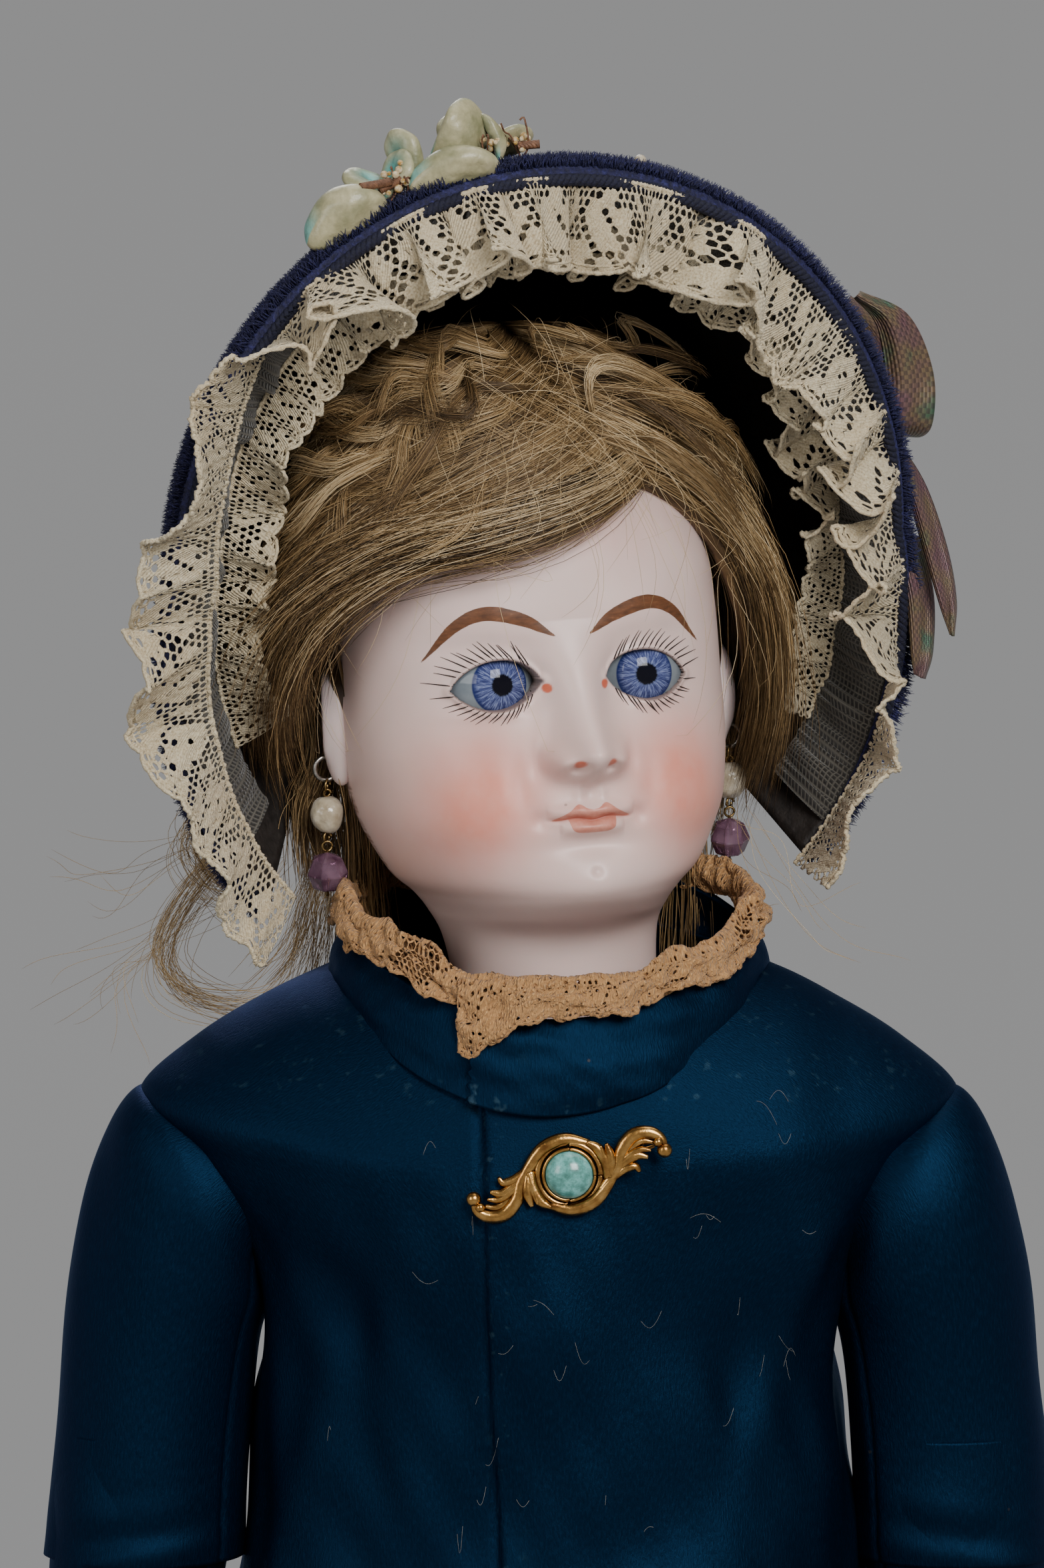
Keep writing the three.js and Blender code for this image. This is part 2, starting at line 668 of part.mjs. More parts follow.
for (const [side, letter] of SIDES) {
  const shoulder = mirrored(SHOULDER, side);
  const elbow = mirrored(ELBOW, side);
  const wrist = mirrored(WRIST, side);
  const arm = direction(shoulder, elbow);
  const fore = direction(elbow, wrist);

  const upperArm = plus(ball(shoulder, BALL.shoulder), bar(shoulder, along(elbow, arm, -6), 9, 8.4));
  add(doll, `upper_arm_${letter}`, minus(upperArm, cup(elbow, BALL.elbow)), COMPOSITION);
  add(doll, `elbow_ball_${letter}`, ball(elbow, BALL.elbow), WOOD);
  const forearm = bar(along(elbow, fore, 6), along(wrist, fore, -3), 8.4, 6.2);
  add(
    doll,
    `forearm_${letter}`,
    minus(forearm, cup(elbow, BALL.elbow), cup(wrist, BALL.wrist)),
    COMPOSITION,
  );
  const palm = along(wrist, fore, 13);
  const thumb = bar(
    along(wrist, fore, 6).add(vec(0, -4, 0)),
    along(wrist, fore, 18).add(vec(0, -8.5, 0)),
    2.6,
    2,
    6,
  );
  const fingers = bar(along(palm, fore, -2), along(palm, fore, 18), 6, 4, 8);
  const hand = plus(ball(wrist, BALL.wrist, 10, 6), bar(wrist, palm, 4.4, 6, 8), fingers, thumb);
  add(doll, `hand_${letter}`, hand, COMPOSITION);

  const middle = shoulder.clone().lerp(elbow, MID_ARM);
  const cap = vec(side * 60, 0, SHOULDER.z - 2);
  const sleeveMiddle = middle.clone().add(vec(side * SLEEVE_OFFSET, 0, 0));
  const sleeveHead = plus(
    bar(cap, along(sleeveMiddle, arm, -SLEEVE_SEAM), SLEEVE.head, SLEEVE.middle, 10),
    ball(cap, SLEEVE.head),
  );
  add(
    doll,
    `sleeve_upper_${letter}`,
    minus(
      sleeveHead,
      cup(shoulder, BALL.shoulder + GAP),
      bar(cap, along(sleeveMiddle, arm, 3), SLEEVE_BORE.head, SLEEVE_BORE.middle, 10),
      inboardOf(side),
      coatSpace,
    ),
    SATIN,
  );
  const sleeveArm = plus(
    bar(along(sleeveMiddle, arm, SLEEVE_SEAM), elbow, SLEEVE.middle, SLEEVE.elbow, 10),
    ball(elbow, SLEEVE.elbow, 10, 6),
    bar(elbow, along(wrist, fore, -3), SLEEVE.elbow, SLEEVE.cuff, 10),
  );
  add(
    doll,
    `sleeve_lower_${letter}`,
    minus(
      sleeveArm,
      bar(along(sleeveMiddle, arm, -2), elbow, SLEEVE_BORE.middle, SLEEVE_BORE.elbow, 10),
      ball(elbow, SLEEVE_BORE.elbow, 10, 6),
      bar(elbow, along(wrist, fore, 2), SLEEVE_BORE.elbow, SLEEVE.cuff - SLEEVE.wall, 10),
    ),
    SATIN,
  );
}

// ---- legs, stockings and strap shoes ----------------------------------------------------------------
const FOOT_HALF = [9, 24, 8];
const SHOE_WALL = 2;
const SOLE_HALF = { wide: 11, long: 29 };
const STOCKING = { low: 42, high: 100, thickness: 1.4 };
const STRAP = { inner: 10.6, outer: 11.8, low: 30, high: 35 };
for (const [side, letter] of SIDES) {
  const hip = mirrored(HIP, side);
  const knee = mirrored(KNEE, side);
  const at = (z, y = 0) => vec(hip.x, y, z);
  const thigh = plus(ball(hip, BALL.hip), bar(hip, at(KNEE.z + 6), 13.6, 11));
  add(doll, `thigh_${letter}`, minus(thigh, cup(knee, BALL.knee)), COMPOSITION);
  add(doll, `knee_ball_${letter}`, ball(knee, BALL.knee), WOOD);

  const shape = [
    [10, 8, 8, 3],
    [ANKLE_Z, 8, 9, 3],
    [52, 9.6, 10.4, 2],
    [84, 12, 12.6, 1],
    [KNEE.z - 6, 10.4, 10.4],
  ].map(([z, wide, deep, y = 0]) => [z, wide, deep, y, hip.x]);
  const foot = (grow) => oval(at(12, -10), FOOT_HALF.map((half) => half + grow));
  const below = box([hip.x - 30, -60, -6], [hip.x + 30, 50, SOLE_THICKNESS + GAP]);
  const leg = minus(plus(stack(shape, 10), foot(0)), cup(knee, BALL.knee), below);
  add(doll, `lower_leg_${letter}`, leg, COMPOSITION);

  const stockingSpan = box([hip.x - 30, -40, STOCKING.low], [hip.x + 30, 40, STOCKING.high]);
  const stocking = minus(
    stack(shape.slice(1), 10, STOCKING.thickness),
    stack(shape.slice(1), 10, GAP),
  );
  add(doll, `stocking_${letter}`, stocking.intersect(stockingSpan), COTTON);

  const ankleBand = stack(
    [
      [8, 10, 11, 3, hip.x],
      [26, 10, 11, 3, hip.x],
    ],
    10,
  );
  const upper = plus(oval(at(12, -10), FOOT_HALF.map((half) => half + SHOE_WALL)), ankleBand);
  const instep = oval(at(26, -13), [14, 9, 8]);
  add(
    doll,
    `shoe_upper_${letter}`,
    minus(upper, below, stack(shape, 10, GAP), foot(GAP), instep),
    LEATHER,
  );
  const outline = new THREE.Shape().absellipse(0, 0, SOLE_HALF.wide, SOLE_HALF.long, 0, 2 * Math.PI);
  const sole = new THREE.ExtrudeGeometry(outline, {
    depth: SOLE_THICKNESS,
    bevelEnabled: false,
    curveSegments: 8,
  });
  add(doll, `shoe_sole_${letter}`, placed(solid(sole), vec(hip.x, -10, 0)), LEATHER);
  const strap = ring(
    [
      [STRAP.inner, STRAP.low],
      [STRAP.outer, STRAP.low],
      [STRAP.outer, STRAP.high],
      [STRAP.inner, STRAP.high],
    ],
    12,
  );
  add(doll, `shoe_strap_${letter}`, placed(strap, vec(hip.x, 2.8, 0)), LEATHER);
}

export default doll;
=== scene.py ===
import json
import math
import bpy
import numpy as np
from mathutils import Matrix, Vector
from mathutils.bvhtree import BVHTree

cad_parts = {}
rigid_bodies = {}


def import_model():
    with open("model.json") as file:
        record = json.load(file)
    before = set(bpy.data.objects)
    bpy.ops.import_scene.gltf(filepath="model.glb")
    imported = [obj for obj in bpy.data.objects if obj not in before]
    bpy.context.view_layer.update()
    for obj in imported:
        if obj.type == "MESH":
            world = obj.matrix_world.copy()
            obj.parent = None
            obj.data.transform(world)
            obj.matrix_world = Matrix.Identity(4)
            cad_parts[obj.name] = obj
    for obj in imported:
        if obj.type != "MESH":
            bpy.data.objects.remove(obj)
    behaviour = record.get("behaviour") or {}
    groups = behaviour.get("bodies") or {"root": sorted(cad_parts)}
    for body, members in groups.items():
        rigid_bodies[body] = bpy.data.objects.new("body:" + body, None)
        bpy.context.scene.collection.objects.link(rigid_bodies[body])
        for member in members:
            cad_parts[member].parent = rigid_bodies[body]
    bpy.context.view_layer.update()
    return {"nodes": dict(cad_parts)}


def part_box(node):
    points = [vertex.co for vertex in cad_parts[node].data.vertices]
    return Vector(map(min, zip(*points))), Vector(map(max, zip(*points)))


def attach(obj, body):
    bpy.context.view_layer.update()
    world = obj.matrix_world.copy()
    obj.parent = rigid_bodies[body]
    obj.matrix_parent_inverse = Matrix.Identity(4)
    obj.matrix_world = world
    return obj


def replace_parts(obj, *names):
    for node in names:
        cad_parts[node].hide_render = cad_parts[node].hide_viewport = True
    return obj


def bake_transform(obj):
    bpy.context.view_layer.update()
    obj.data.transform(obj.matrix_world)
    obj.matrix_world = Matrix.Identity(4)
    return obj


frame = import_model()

# Lengths are in millimetres up to build(), which turns them into metres.
MM = 0.001
NECK = np.array([1.0, 3.0, 350.0])
HEAD_TURN = math.radians(15.0)
HEAD_ROLL = math.radians(-3.5)
SIDES = (("l", 1.0), ("r", -1.0))
rng = np.random.default_rng(20)


# ---------------------------------------------------------------- shape helpers
def smooth_line(points, count):
    """Catmull-Rom curve through the points, in evenly spaced parameters."""
    p = np.asarray(points, float)
    ends = np.vstack([2 * p[0] - p[1], p, 2 * p[-1] - p[-2]])
    t = np.linspace(0, len(p) - 1, count)
    i = np.minimum(t.astype(int), len(p) - 2)
    f = (t - i)[:, None]
    a, b, c, d = ends[i], ends[i + 1], ends[i + 2], ends[i + 3]
    return 0.5 * (2 * b + (c - a) * f + (2 * a - 5 * b + 4 * c - d) * f**2 + (3 * b - a - 3 * c + d) * f**3)


def through(x, xs, ys):
    """Value at x of a smooth curve through (xs, ys)."""
    line = smooth_line(np.column_stack([xs, ys]), 40 * len(xs))
    return np.interp(x, line[:, 0], line[:, 1])


def step(low, high, x):
    t = np.clip((x - low) / (high - low), 0, 1)
    return t * t * (3 - 2 * t)


def hill(x, middle, width):
    """Bell curve of height 1."""
    return np.exp(-(((x - middle) / width) ** 2))


def bump(a, b, a0, b0, sa, sb):
    """Bell-shaped hill of height 1 over a plane."""
    return np.exp(-(((a - a0) / sa) ** 2) - ((b - b0) / sb) ** 2)


def waves(p, size, seed, octaves=3):
    """Smooth noise of about -1 to 1, with features of that size."""
    r = np.random.default_rng(seed)
    p = np.asarray(p, float)
    total = np.zeros(p.shape[:-1])
    for k in range(octaves):
        for _ in range(4):
            way = r.normal(size=p.shape[-1])
            way /= np.linalg.norm(way)
            total += np.sin(p @ way * (2 * math.pi * 1.7**k / size) + r.uniform(0, 7)) / 1.7**k
    return total / 3.2


def run_along(line, weight=1.0):
    """Length of a line up to each of its points."""
    return np.cumsum(weight * np.r_[0, np.linalg.norm(np.diff(line, axis=0), axis=1)])


def evenly(line, run, count):
    """The line at even steps of its run."""
    at = np.linspace(0, run[-1], count)
    return np.stack([np.interp(at, run, column) for column in line.T], 1)


def full_turn(count):
    return np.linspace(0, 2 * math.pi, count, endpoint=False)[None]


def flat_map(u, v):
    """Place of every point on the flat cloth, in metres, for the weave."""
    u, v = np.broadcast_arrays(u, v)
    return np.stack([u, v, 0 * u], -1).reshape(-1, 3) * MM


def turned(p, axis, angle):
    """Points turned about a coordinate axis through the origin."""
    m = np.array(Matrix.Rotation(angle, 3, axis))
    return np.asarray(p) @ m.T


def head_to_world(p):
    return turned(turned(p, "Y", HEAD_ROLL), "Z", HEAD_TURN) + NECK


def grid_faces(rows, cols, wrap=False, start=0):
    r = np.arange(rows - 1)[:, None]
    c = np.arange(cols if wrap else cols - 1)[None, :]
    n = (c + 1) % cols
    quads = np.stack([r * cols + c, r * cols + n, (r + 1) * cols + n, (r + 1) * cols + c], -1)
    return quads.reshape(-1, 4) + start


def build(name, points, faces, material, body=None, smooth=True, **attributes):
    """One mesh piece. faces is an array of quads or triangles, or a list of such arrays."""
    groups = faces if isinstance(faces, list) else [faces]
    groups = [np.asarray(g, np.int32) for g in groups if len(g)]
    points = np.asarray(points, float).reshape(-1, 3)
    mesh = bpy.data.meshes.new(name)
    mesh.vertices.add(len(points))
    mesh.vertices.foreach_set("co", (points * MM).ravel())
    corners = np.concatenate([g.ravel() for g in groups])
    mesh.loops.add(len(corners))
    mesh.loops.foreach_set("vertex_index", corners)
    lengths = np.concatenate([np.full(len(g), g.shape[1]) for g in groups])
    mesh.polygons.add(len(lengths))
    mesh.polygons.foreach_set("loop_start", np.concatenate([[0], np.cumsum(lengths)[:-1]]).astype(np.int32))
    mesh.polygons.foreach_set("use_smooth", np.full(len(lengths), smooth))
    for key, values in attributes.items():
        values = np.asarray(values, np.float32)
        if values.ndim == 1:
            mesh.attributes.new(key, "FLOAT", "POINT").data.foreach_set("value", values)
        else:
            mesh.attributes.new(key, "FLOAT_VECTOR", "POINT").data.foreach_set("vector", values.ravel())
    mesh.update(calc_edges=True)
    mesh.validate()
    obj = bpy.data.objects.new(name, mesh)
    bpy.context.scene.collection.objects.link(obj)
    mesh.materials.append(material)
    if body:
        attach(obj, body)
    return obj


def thicken(obj, thickness, offset=0.0):
    mod = obj.modifiers.new("thickness", "SOLIDIFY")
    mod.thickness = thickness * MM
    mod.offset = offset
    return obj


def tubes(lines, radii, sides=4, flat=1.0):
    """Points and faces of capped tubes. lines is (n, k, 3), radii (k,) or (n, k)."""
    lines = np.asarray(lines, float)
    if lines.ndim == 2:
        lines = lines[None]
    n, k, _ = lines.shape
    radii = np.broadcast_to(np.asarray(radii, float), (n, k))
    way = np.gradient(lines, axis=1)
    way /= np.linalg.norm(way, axis=2, keepdims=True) + 1e-9
    up = np.zeros_like(way)
    mean = np.abs(way.mean(axis=1))
    up[np.arange(n), :, mean.argmin(axis=1)] = 1.0
    side = np.cross(way, up)
    side /= np.linalg.norm(side, axis=2, keepdims=True) + 1e-9
    up = np.cross(side, way)
    angle = np.arange(sides) * 2 * math.pi / sides
    ringed = (
        lines[:, :, None]
        + radii[:, :, None, None] * np.cos(angle)[None, None, :, None] * side[:, :, None]
        + flat * radii[:, :, None, None] * np.sin(angle)[None, None, :, None] * up[:, :, None]
    )
    one = grid_faces(k, sides, wrap=True)
    faces = (one[None] + (np.arange(n) * k * sides)[:, None, None]).reshape(-1, 4)
    base = (np.arange(n) * k * sides)[:, None]
    start = np.arange(sides)[::-1][None] + base
    end = np.arange(sides)[None] + base + (k - 1) * sides
    return ringed.reshape(-1, 3), [faces, start, end]


def join(parts):
    """Several (points, faces) as one."""
    points, groups, start = [], [], 0
    for p, f in parts:
        p = np.asarray(p, float).reshape(-1, 3)
        points.append(p)
        for g in f if isinstance(f, list) else [f]:
            groups.append(np.asarray(g) + start)
        start += len(p)
    return np.vstack(points), groups


def ball(centre, half, rows=24, cols=36):
    """Ellipsoid with its poles along Z."""
    t = np.linspace(0.001, math.pi - 0.001, rows)[:, None]
    a = np.linspace(0, 2 * math.pi, cols, endpoint=False)[None]
    p = np.stack([np.sin(t) * np.cos(a), np.sin(t) * np.sin(a), -np.cos(t) + 0 * a], -1)
    points = p * np.broadcast_to(half, 3) + np.asarray(centre, float)
    first = np.arange(cols)[::-1][None]
    last = np.arange(cols)[None] + (rows - 1) * cols
    return points.reshape(-1, 3), [grid_faces(rows, cols, wrap=True), first, last]


# ---------------------------------------------------------------- shading helpers
class Paint:
    """A principled material and short names for the nodes that feed it."""

    def __init__(self, name, color=None, **values):
        self.material = bpy.data.materials.new(name)
        self.material.use_nodes = True
        self.tree = self.material.node_tree
        self.surface = self.tree.nodes["Principled BSDF"]
        if color is not None:
            self.surface.inputs["Base Color"].default_value = (*color, 1)
        for key, value in values.items():
            self.surface.inputs[key.replace("_", " ")].default_value = value

    def node(self, kind, out=0, settings=None, **inputs):
        made = self.tree.nodes.new("ShaderNode" + kind)
        for key, value in (settings or {}).items():
            setattr(made, key, value)
        for key, value in inputs.items():
            key = key.replace("_", " ")
            socket = made.inputs[int(key[1:])] if key[0] == "i" and key[1:].isdigit() else made.inputs[key]
            self.put(value, socket)
        return made.outputs[out]

    def put(self, value, socket):
        if isinstance(value, bpy.types.NodeSocket):
            self.tree.links.new(value, socket)
        elif isinstance(value, tuple) and len(value) == 3 and socket.type == "RGBA":
            socket.default_value = (*value, 1)
        else:
            socket.default_value = value

    def place(self, scale=(1, 1, 1)):
        return self.node("Mapping", Vector=self.node("TexCoord", out="Object"), Scale=scale)

    def read(self, name, out="Fac"):
        return self.node("Attribute", out=out, settings={"attribute_name": name})

    def stretched(self, vector, scale):
        return self.node("Mapping", Vector=vector, Scale=scale)

    def noise(self, scale, vector=None, detail=3.0, rough=0.55):
        vector = vector or self.place()
        return self.node("TexNoise", Vector=vector, Scale=scale, Detail=detail, Roughness=rough)

    def cells(self, scale, vector=None, out="Distance", feature="F1"):
        vector = vector or self.place()
        return self.node("TexVoronoi", out=out, settings={"feature": feature}, Vector=vector, Scale=scale)

    def wave(self, scale, vector, direction="X", distortion=0.0):
        how = {"bands_direction": direction}
        return self.node(
            "TexWave", out="Fac", settings=how, Vector=vector, Scale=scale, Distortion=distortion
        )

    def ramp(self, value, *stops):
        made = self.tree.nodes.new("ShaderNodeValToRGB")
        self.put(value, made.inputs[0])
        marks = made.color_ramp.elements
        while len(marks) < len(stops):
            marks.new(0.5)
        for mark, (at, color) in zip(marks, stops):
            mark.position = at
            mark.color = (*color, 1) if isinstance(color, tuple) else (color, color, color, 1)
        return made.outputs[0]

    def mix(self, share, a, b, how="MIX"):
        made = self.tree.nodes.new("ShaderNodeMix")
        made.data_type = "RGBA"
        made.blend_type = how
        self.put(share, made.inputs[0])
        self.put(a, made.inputs[6])
        self.put(b, made.inputs[7])
        return made.outputs[2]

    def math(self, how, a, b=0.0):
        return self.node("Math", settings={"operation": how}, i0=a, i1=b)

    def times(self, a, b):
        return self.math("MULTIPLY", a, b)

    def plus(self, a, b):
        return self.math("ADD", a, b)

    def color(self, value):
        self.put(value, self.surface.inputs["Base Color"])
        return self

    def rough(self, value):
        self.put(value, self.surface.inputs["Roughness"])
        return self

    def relief(self, height, depth, strength=1.0):
        """Bump of a real depth in millimetres."""
        made = self.node("Bump", Height=height, Distance=depth * MM, Strength=strength)
        self.put(made, self.surface.inputs["Normal"])
        return self


def mottled(name, scale, stops, bump=None, detail=3.0, **surface):
    """A paint whose colour follows a noise. bump is the scale and depth (mm) of a second noise."""
    paint = Paint(name, **surface)
    paint.color(paint.ramp(paint.noise(scale, detail=detail), *stops))
    if bump:
        paint.relief(paint.noise(bump[0]), bump[1])
    return paint


# ---------------------------------------------------------------- camera, light, floor
def area_light(name, at, to, wide, tall, watts, tint=(1, 1, 1)):
    data = bpy.data.lights.new(name, "AREA")
    data.shape = "RECTANGLE"
    data.size, data.size_y, data.energy, data.color = wide, tall, watts, tint
    lamp = bpy.data.objects.new(name, data)
    bpy.context.scene.collection.objects.link(lamp)
    lamp.location = at
    lamp.rotation_euler = (Vector(to) - Vector(at)).to_track_quat("-Z", "Y").to_euler()


SENSOR = 36
CAMERA_DISTANCE = 1.30
CAMERA_ELEVATION = math.radians(4.5)
FRAME_HEIGHT = 0.2692
LOOK_AT = Vector((-0.0047, -0.020, 0.399))
camera_data = bpy.data.cameras.new("camera")
camera_data.sensor_width = SENSOR
camera_data.lens = SENSOR * CAMERA_DISTANCE / FRAME_HEIGHT
camera = bpy.data.objects.new("camera", camera_data)
bpy.context.scene.collection.objects.link(camera)
toward = Vector((0, -math.cos(CAMERA_ELEVATION), math.sin(CAMERA_ELEVATION)))
camera.location = LOOK_AT + toward * CAMERA_DISTANCE
camera.rotation_euler = (-toward).to_track_quat("-Z", "Y").to_euler()
bpy.context.scene.camera = camera

area_light("key", (0.42, -1.10, 0.98), (0, 0, 0.40), 0.55, 0.55, 16.5)
area_light("side", (-0.95, -0.95, 0.72), (0, 0, 0.38), 0.45, 0.60, 5)
area_light("top", (0.15, 0.15, 1.5), (0, 0, 0.4), 0.8, 0.8, 5)
area_light("rear", (-0.35, 1.45, 1.55), (0, 0, 0.30), 0.7, 0.7, 11)
# Grey levels of the surroundings, from straight down (0) to straight up (1).
SKY_BANDS = ((0.22, 0.12), (0.28, 0.315), (0.515, 0.285), (0.66, 0.10))
world = bpy.data.worlds.new("studio")
world.use_nodes = True
sky = world.node_tree
height = sky.nodes.new("ShaderNodeSeparateXYZ")
sky.links.new(sky.nodes.new("ShaderNodeTexCoord").outputs["Generated"], height.inputs[0])
span = sky.nodes.new("ShaderNodeMapRange")
span.inputs["From Min"].default_value = -1.0
sky.links.new(height.outputs["Z"], span.inputs["Value"])
band = sky.nodes.new("ShaderNodeValToRGB")
sky.links.new(span.outputs["Result"], band.inputs["Fac"])
while len(band.color_ramp.elements) < len(SKY_BANDS):
    band.color_ramp.elements.new(0.5)
for element, (place, level) in zip(band.color_ramp.elements, SKY_BANDS):
    element.position = place
    element.color = (level, level, level * 1.005, 1)
sky.links.new(band.outputs["Color"], sky.nodes["Background"].inputs["Color"])
bpy.context.scene.world = world

paper = mottled(
    "studio_paper", 9.0, [(0.3, (0.345, 0.345, 0.35)), (0.7, (0.370, 0.368, 0.367))], bump=(600.0, 0.05),
    Roughness=0.9
)
FLOOR_RADIUS, FLOOR_ROWS, FLOOR_COLS = 1300, 16, 96
floor_reach = np.linspace(1, FLOOR_RADIUS, FLOOR_ROWS)[:, None]
floor_turn = full_turn(FLOOR_COLS)
floor = np.stack(
    [floor_reach * np.cos(floor_turn), floor_reach * np.sin(floor_turn), 0 * floor_reach * floor_turn], -1
)
build("studio_floor", floor, grid_faces(FLOOR_ROWS, FLOOR_COLS, wrap=True), paper.material)

# ---------------------------------------------------------------- head
# Half width, then the front, widest and back y, at heights from the neck ball to the crown.
PROFILE = [
    (-6, 16.5, -17, 0, 17), (4, 17.2, -17.4, 0, 17.5), (14, 17.8, -17.8, 0, 18), (22, 18.8, -20, 1, 19.5),
    (26.5, 20.6, -27, 2, 23), (30, 23.0, -31.6, 2, 26), (33.5, 26.5, -33.4, 2.5, 29),
    (39.5, 29.7, -33.2, 3, 33), (44, 31.5, -33.2, 3, 35.5), (49, 32.6, -33, 4, 38),
    (56, 33.5, -32.4, 4, 41), (66, 33.7, -31, 4, 43), (77, 33.7, -31.2, 4, 43.6), (88, 33, -30.8, 4, 42),
    (98, 30.5, -27.5, 4, 38.5), (107, 26, -20.5, 5, 32.5), (115, 19, -11.5, 6, 25),
    (120.5, 11, -2.5, 7, 17), (123.2, 4, 4, 8, 12), (123.8, 0.05, 7.9, 8, 8.1)
]
EYE_X, EYE_Z, EYE_HALF = 13.2, 67.3, 7.3
MOUTH_Z = 44.2
FACE_LEAN = -0.028
HEAD_ROWS, HEAD_COLS = 400, 420


def lean(x, z):
    return x + FACE_LEAN * (z - MOUTH_Z)


def eye_gap(x, z):
    """How far inside the eye opening a point is, in millimetres, and its place along the lids."""
    along = (np.abs(x) - EYE_X) / EYE_HALF
    arch = np.clip(1 - along**2, 0, 1)
    base = EYE_Z - 0.5 * along
    inside = np.minimum(base + 4.35 * arch**0.72 - z, z - base + 4.0 * arch**0.85)
    beyond = (np.abs(along) - 1) * EYE_HALF
    return np.where(beyond > 0, -np.hypot(beyond, z - base), np.minimum(inside, -beyond * 0.9)), along


def brow_gap(x, z):
    wide = np.abs(x)
    line = through(wide, [3.0, 8, 14.4, 19.5, 24.8], [75.4, 78.4, 79.9, 77.7, 71.8])
    half = through(wide, [3.0, 7, 13, 19.5, 24.8], [0.12, 1.0, 1.25, 0.85, 0.08])
    slope = (through(wide + 0.5, [3.0, 8, 14.4, 19.5, 24.8], [75.4, 78.4, 79.9, 77.7, 71.8]) - line) * 2
    gap = half - np.abs(z - line) / np.sqrt(1 + slope**2)
    return np.where((wide > 3.0) & (wide < 24.8), gap, -1.0)


def lip_line(x):
    return MOUTH_Z + 0.25 * hill(x, 0, 1.6) * -1 + 0.35 * hill(np.abs(x), 2.9, 1.8) - 0.15


def lip_gap(x, z):
    wide = np.abs(x)
    top = through(wide, [0, 1.0, 2.4, 4.3, 6.9], [45.75, 46.0, 46.75, 45.4, 44.1])
    low = through(wide, [0, 2.4, 3.6, 4.05], [41.7, 41.8, 42.4, 43.9])
    upper = np.minimum(top - z, z - lip_line(x) + 0.05)
    lower = np.minimum(z - low, lip_line(x) + 0.05 - z)
    upper = np.where(wide < 6.9, upper, -1)
    lower = np.where(wide < 4.05, lower, -1)
    return np.maximum(upper, lower)


def sculpt(p):
    """Face relief, in front of the plain skull."""
    x, y, z = p[..., 0], p[..., 1], p[..., 2]
    wide = np.abs(x)
    front = step(2, -12, y)
    out = np.zeros(x.shape)
    ridge = through(z, [45, 48.5, 50, 51.4, 53, 55.2, 57.5, 61, 65, 69, 73, 78],
                    [0, 0.1, 1.5, 5.2, 8.6, 9.7, 8.8, 6.5, 4.7, 3.1, 1.5, 0])
    across = through(z, [48, 51.5, 54.5, 58, 63, 69, 76], [3.6, 3.9, 4.5, 4.4, 4.1, 4.4, 5.8])
    out += ridge * np.exp(-((wide / across) ** 2.1))
    out += 3.2 * bump(wide, z, 5.0, 54.0, 2.1, 2.5)
    out -= 0.7 * bump(wide, z, 8.4, 53.8, 1.3, 3.0)
    out -= 2.0 * bump(wide, z, 2.5, 53.0, 1.25, 0.9)
    out += 1.2 * bump(x, z, 0, 55.6, 2.6, 2.2)
    out -= 0.55 * bump(x, z, 0, 48.4, 1.1, 1.7)
    out += 0.4 * bump(wide, z, 2.0, 48.6, 0.9, 1.8)
    out += 1.5 * bump(x, z, 0, 46.5, 7.8, 4.6)
    arch = np.clip(1 - (wide / 7.6) ** 2, 0, 1)
    out += 1.35 * arch**0.6 * hill(z, 45.4, 1.25)
    out += 0.3 * bump(wide, z, 2.6, 46.2, 1.6, 0.9)
    low_arch = np.clip(1 - (wide / 5.6) ** 2, 0, 1)
    out += 1.75 * low_arch**0.6 * hill(z, 42.5, 1.3)
    out -= 0.85 * np.clip(1 - (wide / 8.0) ** 4, 0, 1) * np.exp(-(((z - lip_line(x)) / 0.42) ** 2))
    out -= 0.9 * bump(wide, z, 8.5, MOUTH_Z - 0.1, 1.7, 1.6)
    out -= 0.9 * bump(x, z, 0, 39.4, 6.0, 1.7)
    out += 2.2 * bump(x, z, 0, 32.5, 7.6, 5.2)
    out -= 0.5 * bump(x, z, 0, 34.9, 0.9, 0.9)
    out += 1.7 * bump(wide, z, 17.5, 45.5, 9.5, 9.5)
    out -= 0.7 * bump(wide, z, 11.2, 49.5, 2.2, 5.5)
    out -= 2.4 * bump(wide, z, 8.4, 68.0, 3.4, 4.8)
    out += 0.7 * bump(wide, z, 14.5, 79.0, 8.5, 3.6)
    out -= 0.5 * bump(wide, z, 14.0, 74.0, 8.0, 2.0)
    out += 0.35 * bump(wide, z, 13.5, 62.4, 6.5, 1.1)
    gap, along = eye_gap(x, z)
    out += 0.55 * np.exp(-((gap + 0.5) / 0.75) ** 2) * (wide > 3)
    pocket = step(-0.12, 0.3, gap)
    out = out - pocket * (7.0 + 2.0 * np.clip(along, 0, 1))
    return out * front, gap


profile = smooth_line(PROFILE, 2000)
density = 0.25 + 2.2 * step(24, 34, profile[:, 0]) * step(92, 82, profile[:, 0])
length = run_along(profile, density)
profile = evenly(profile, length, HEAD_ROWS)
turn = np.linspace(-math.pi, math.pi, HEAD_COLS, endpoint=False)
turn = turn - 0.62 * np.sin(turn)
pz, pw, pf, pm, pb = [profile[:, k : k + 1] for k in range(5)]
fullness = 1 - 0.13 * step(26, 50, pz) * step(112, 96, pz)
sin_a, cos_a = np.sin(turn)[None], np.cos(turn)[None]
hx = pw * np.sign(sin_a) * np.abs(sin_a) ** fullness
ahead = np.maximum(cos_a, 0) ** fullness
hy = pm + (pf - pm) * ahead + (pb - pm) * np.maximum(-cos_a, 0)
head_points = np.stack([hx, hy, np.broadcast_to(pz, hx.shape)], -1)
relief, eye_depth = sculpt(head_points)
normal_x = 0.55 * head_points[..., 0] / 34.0
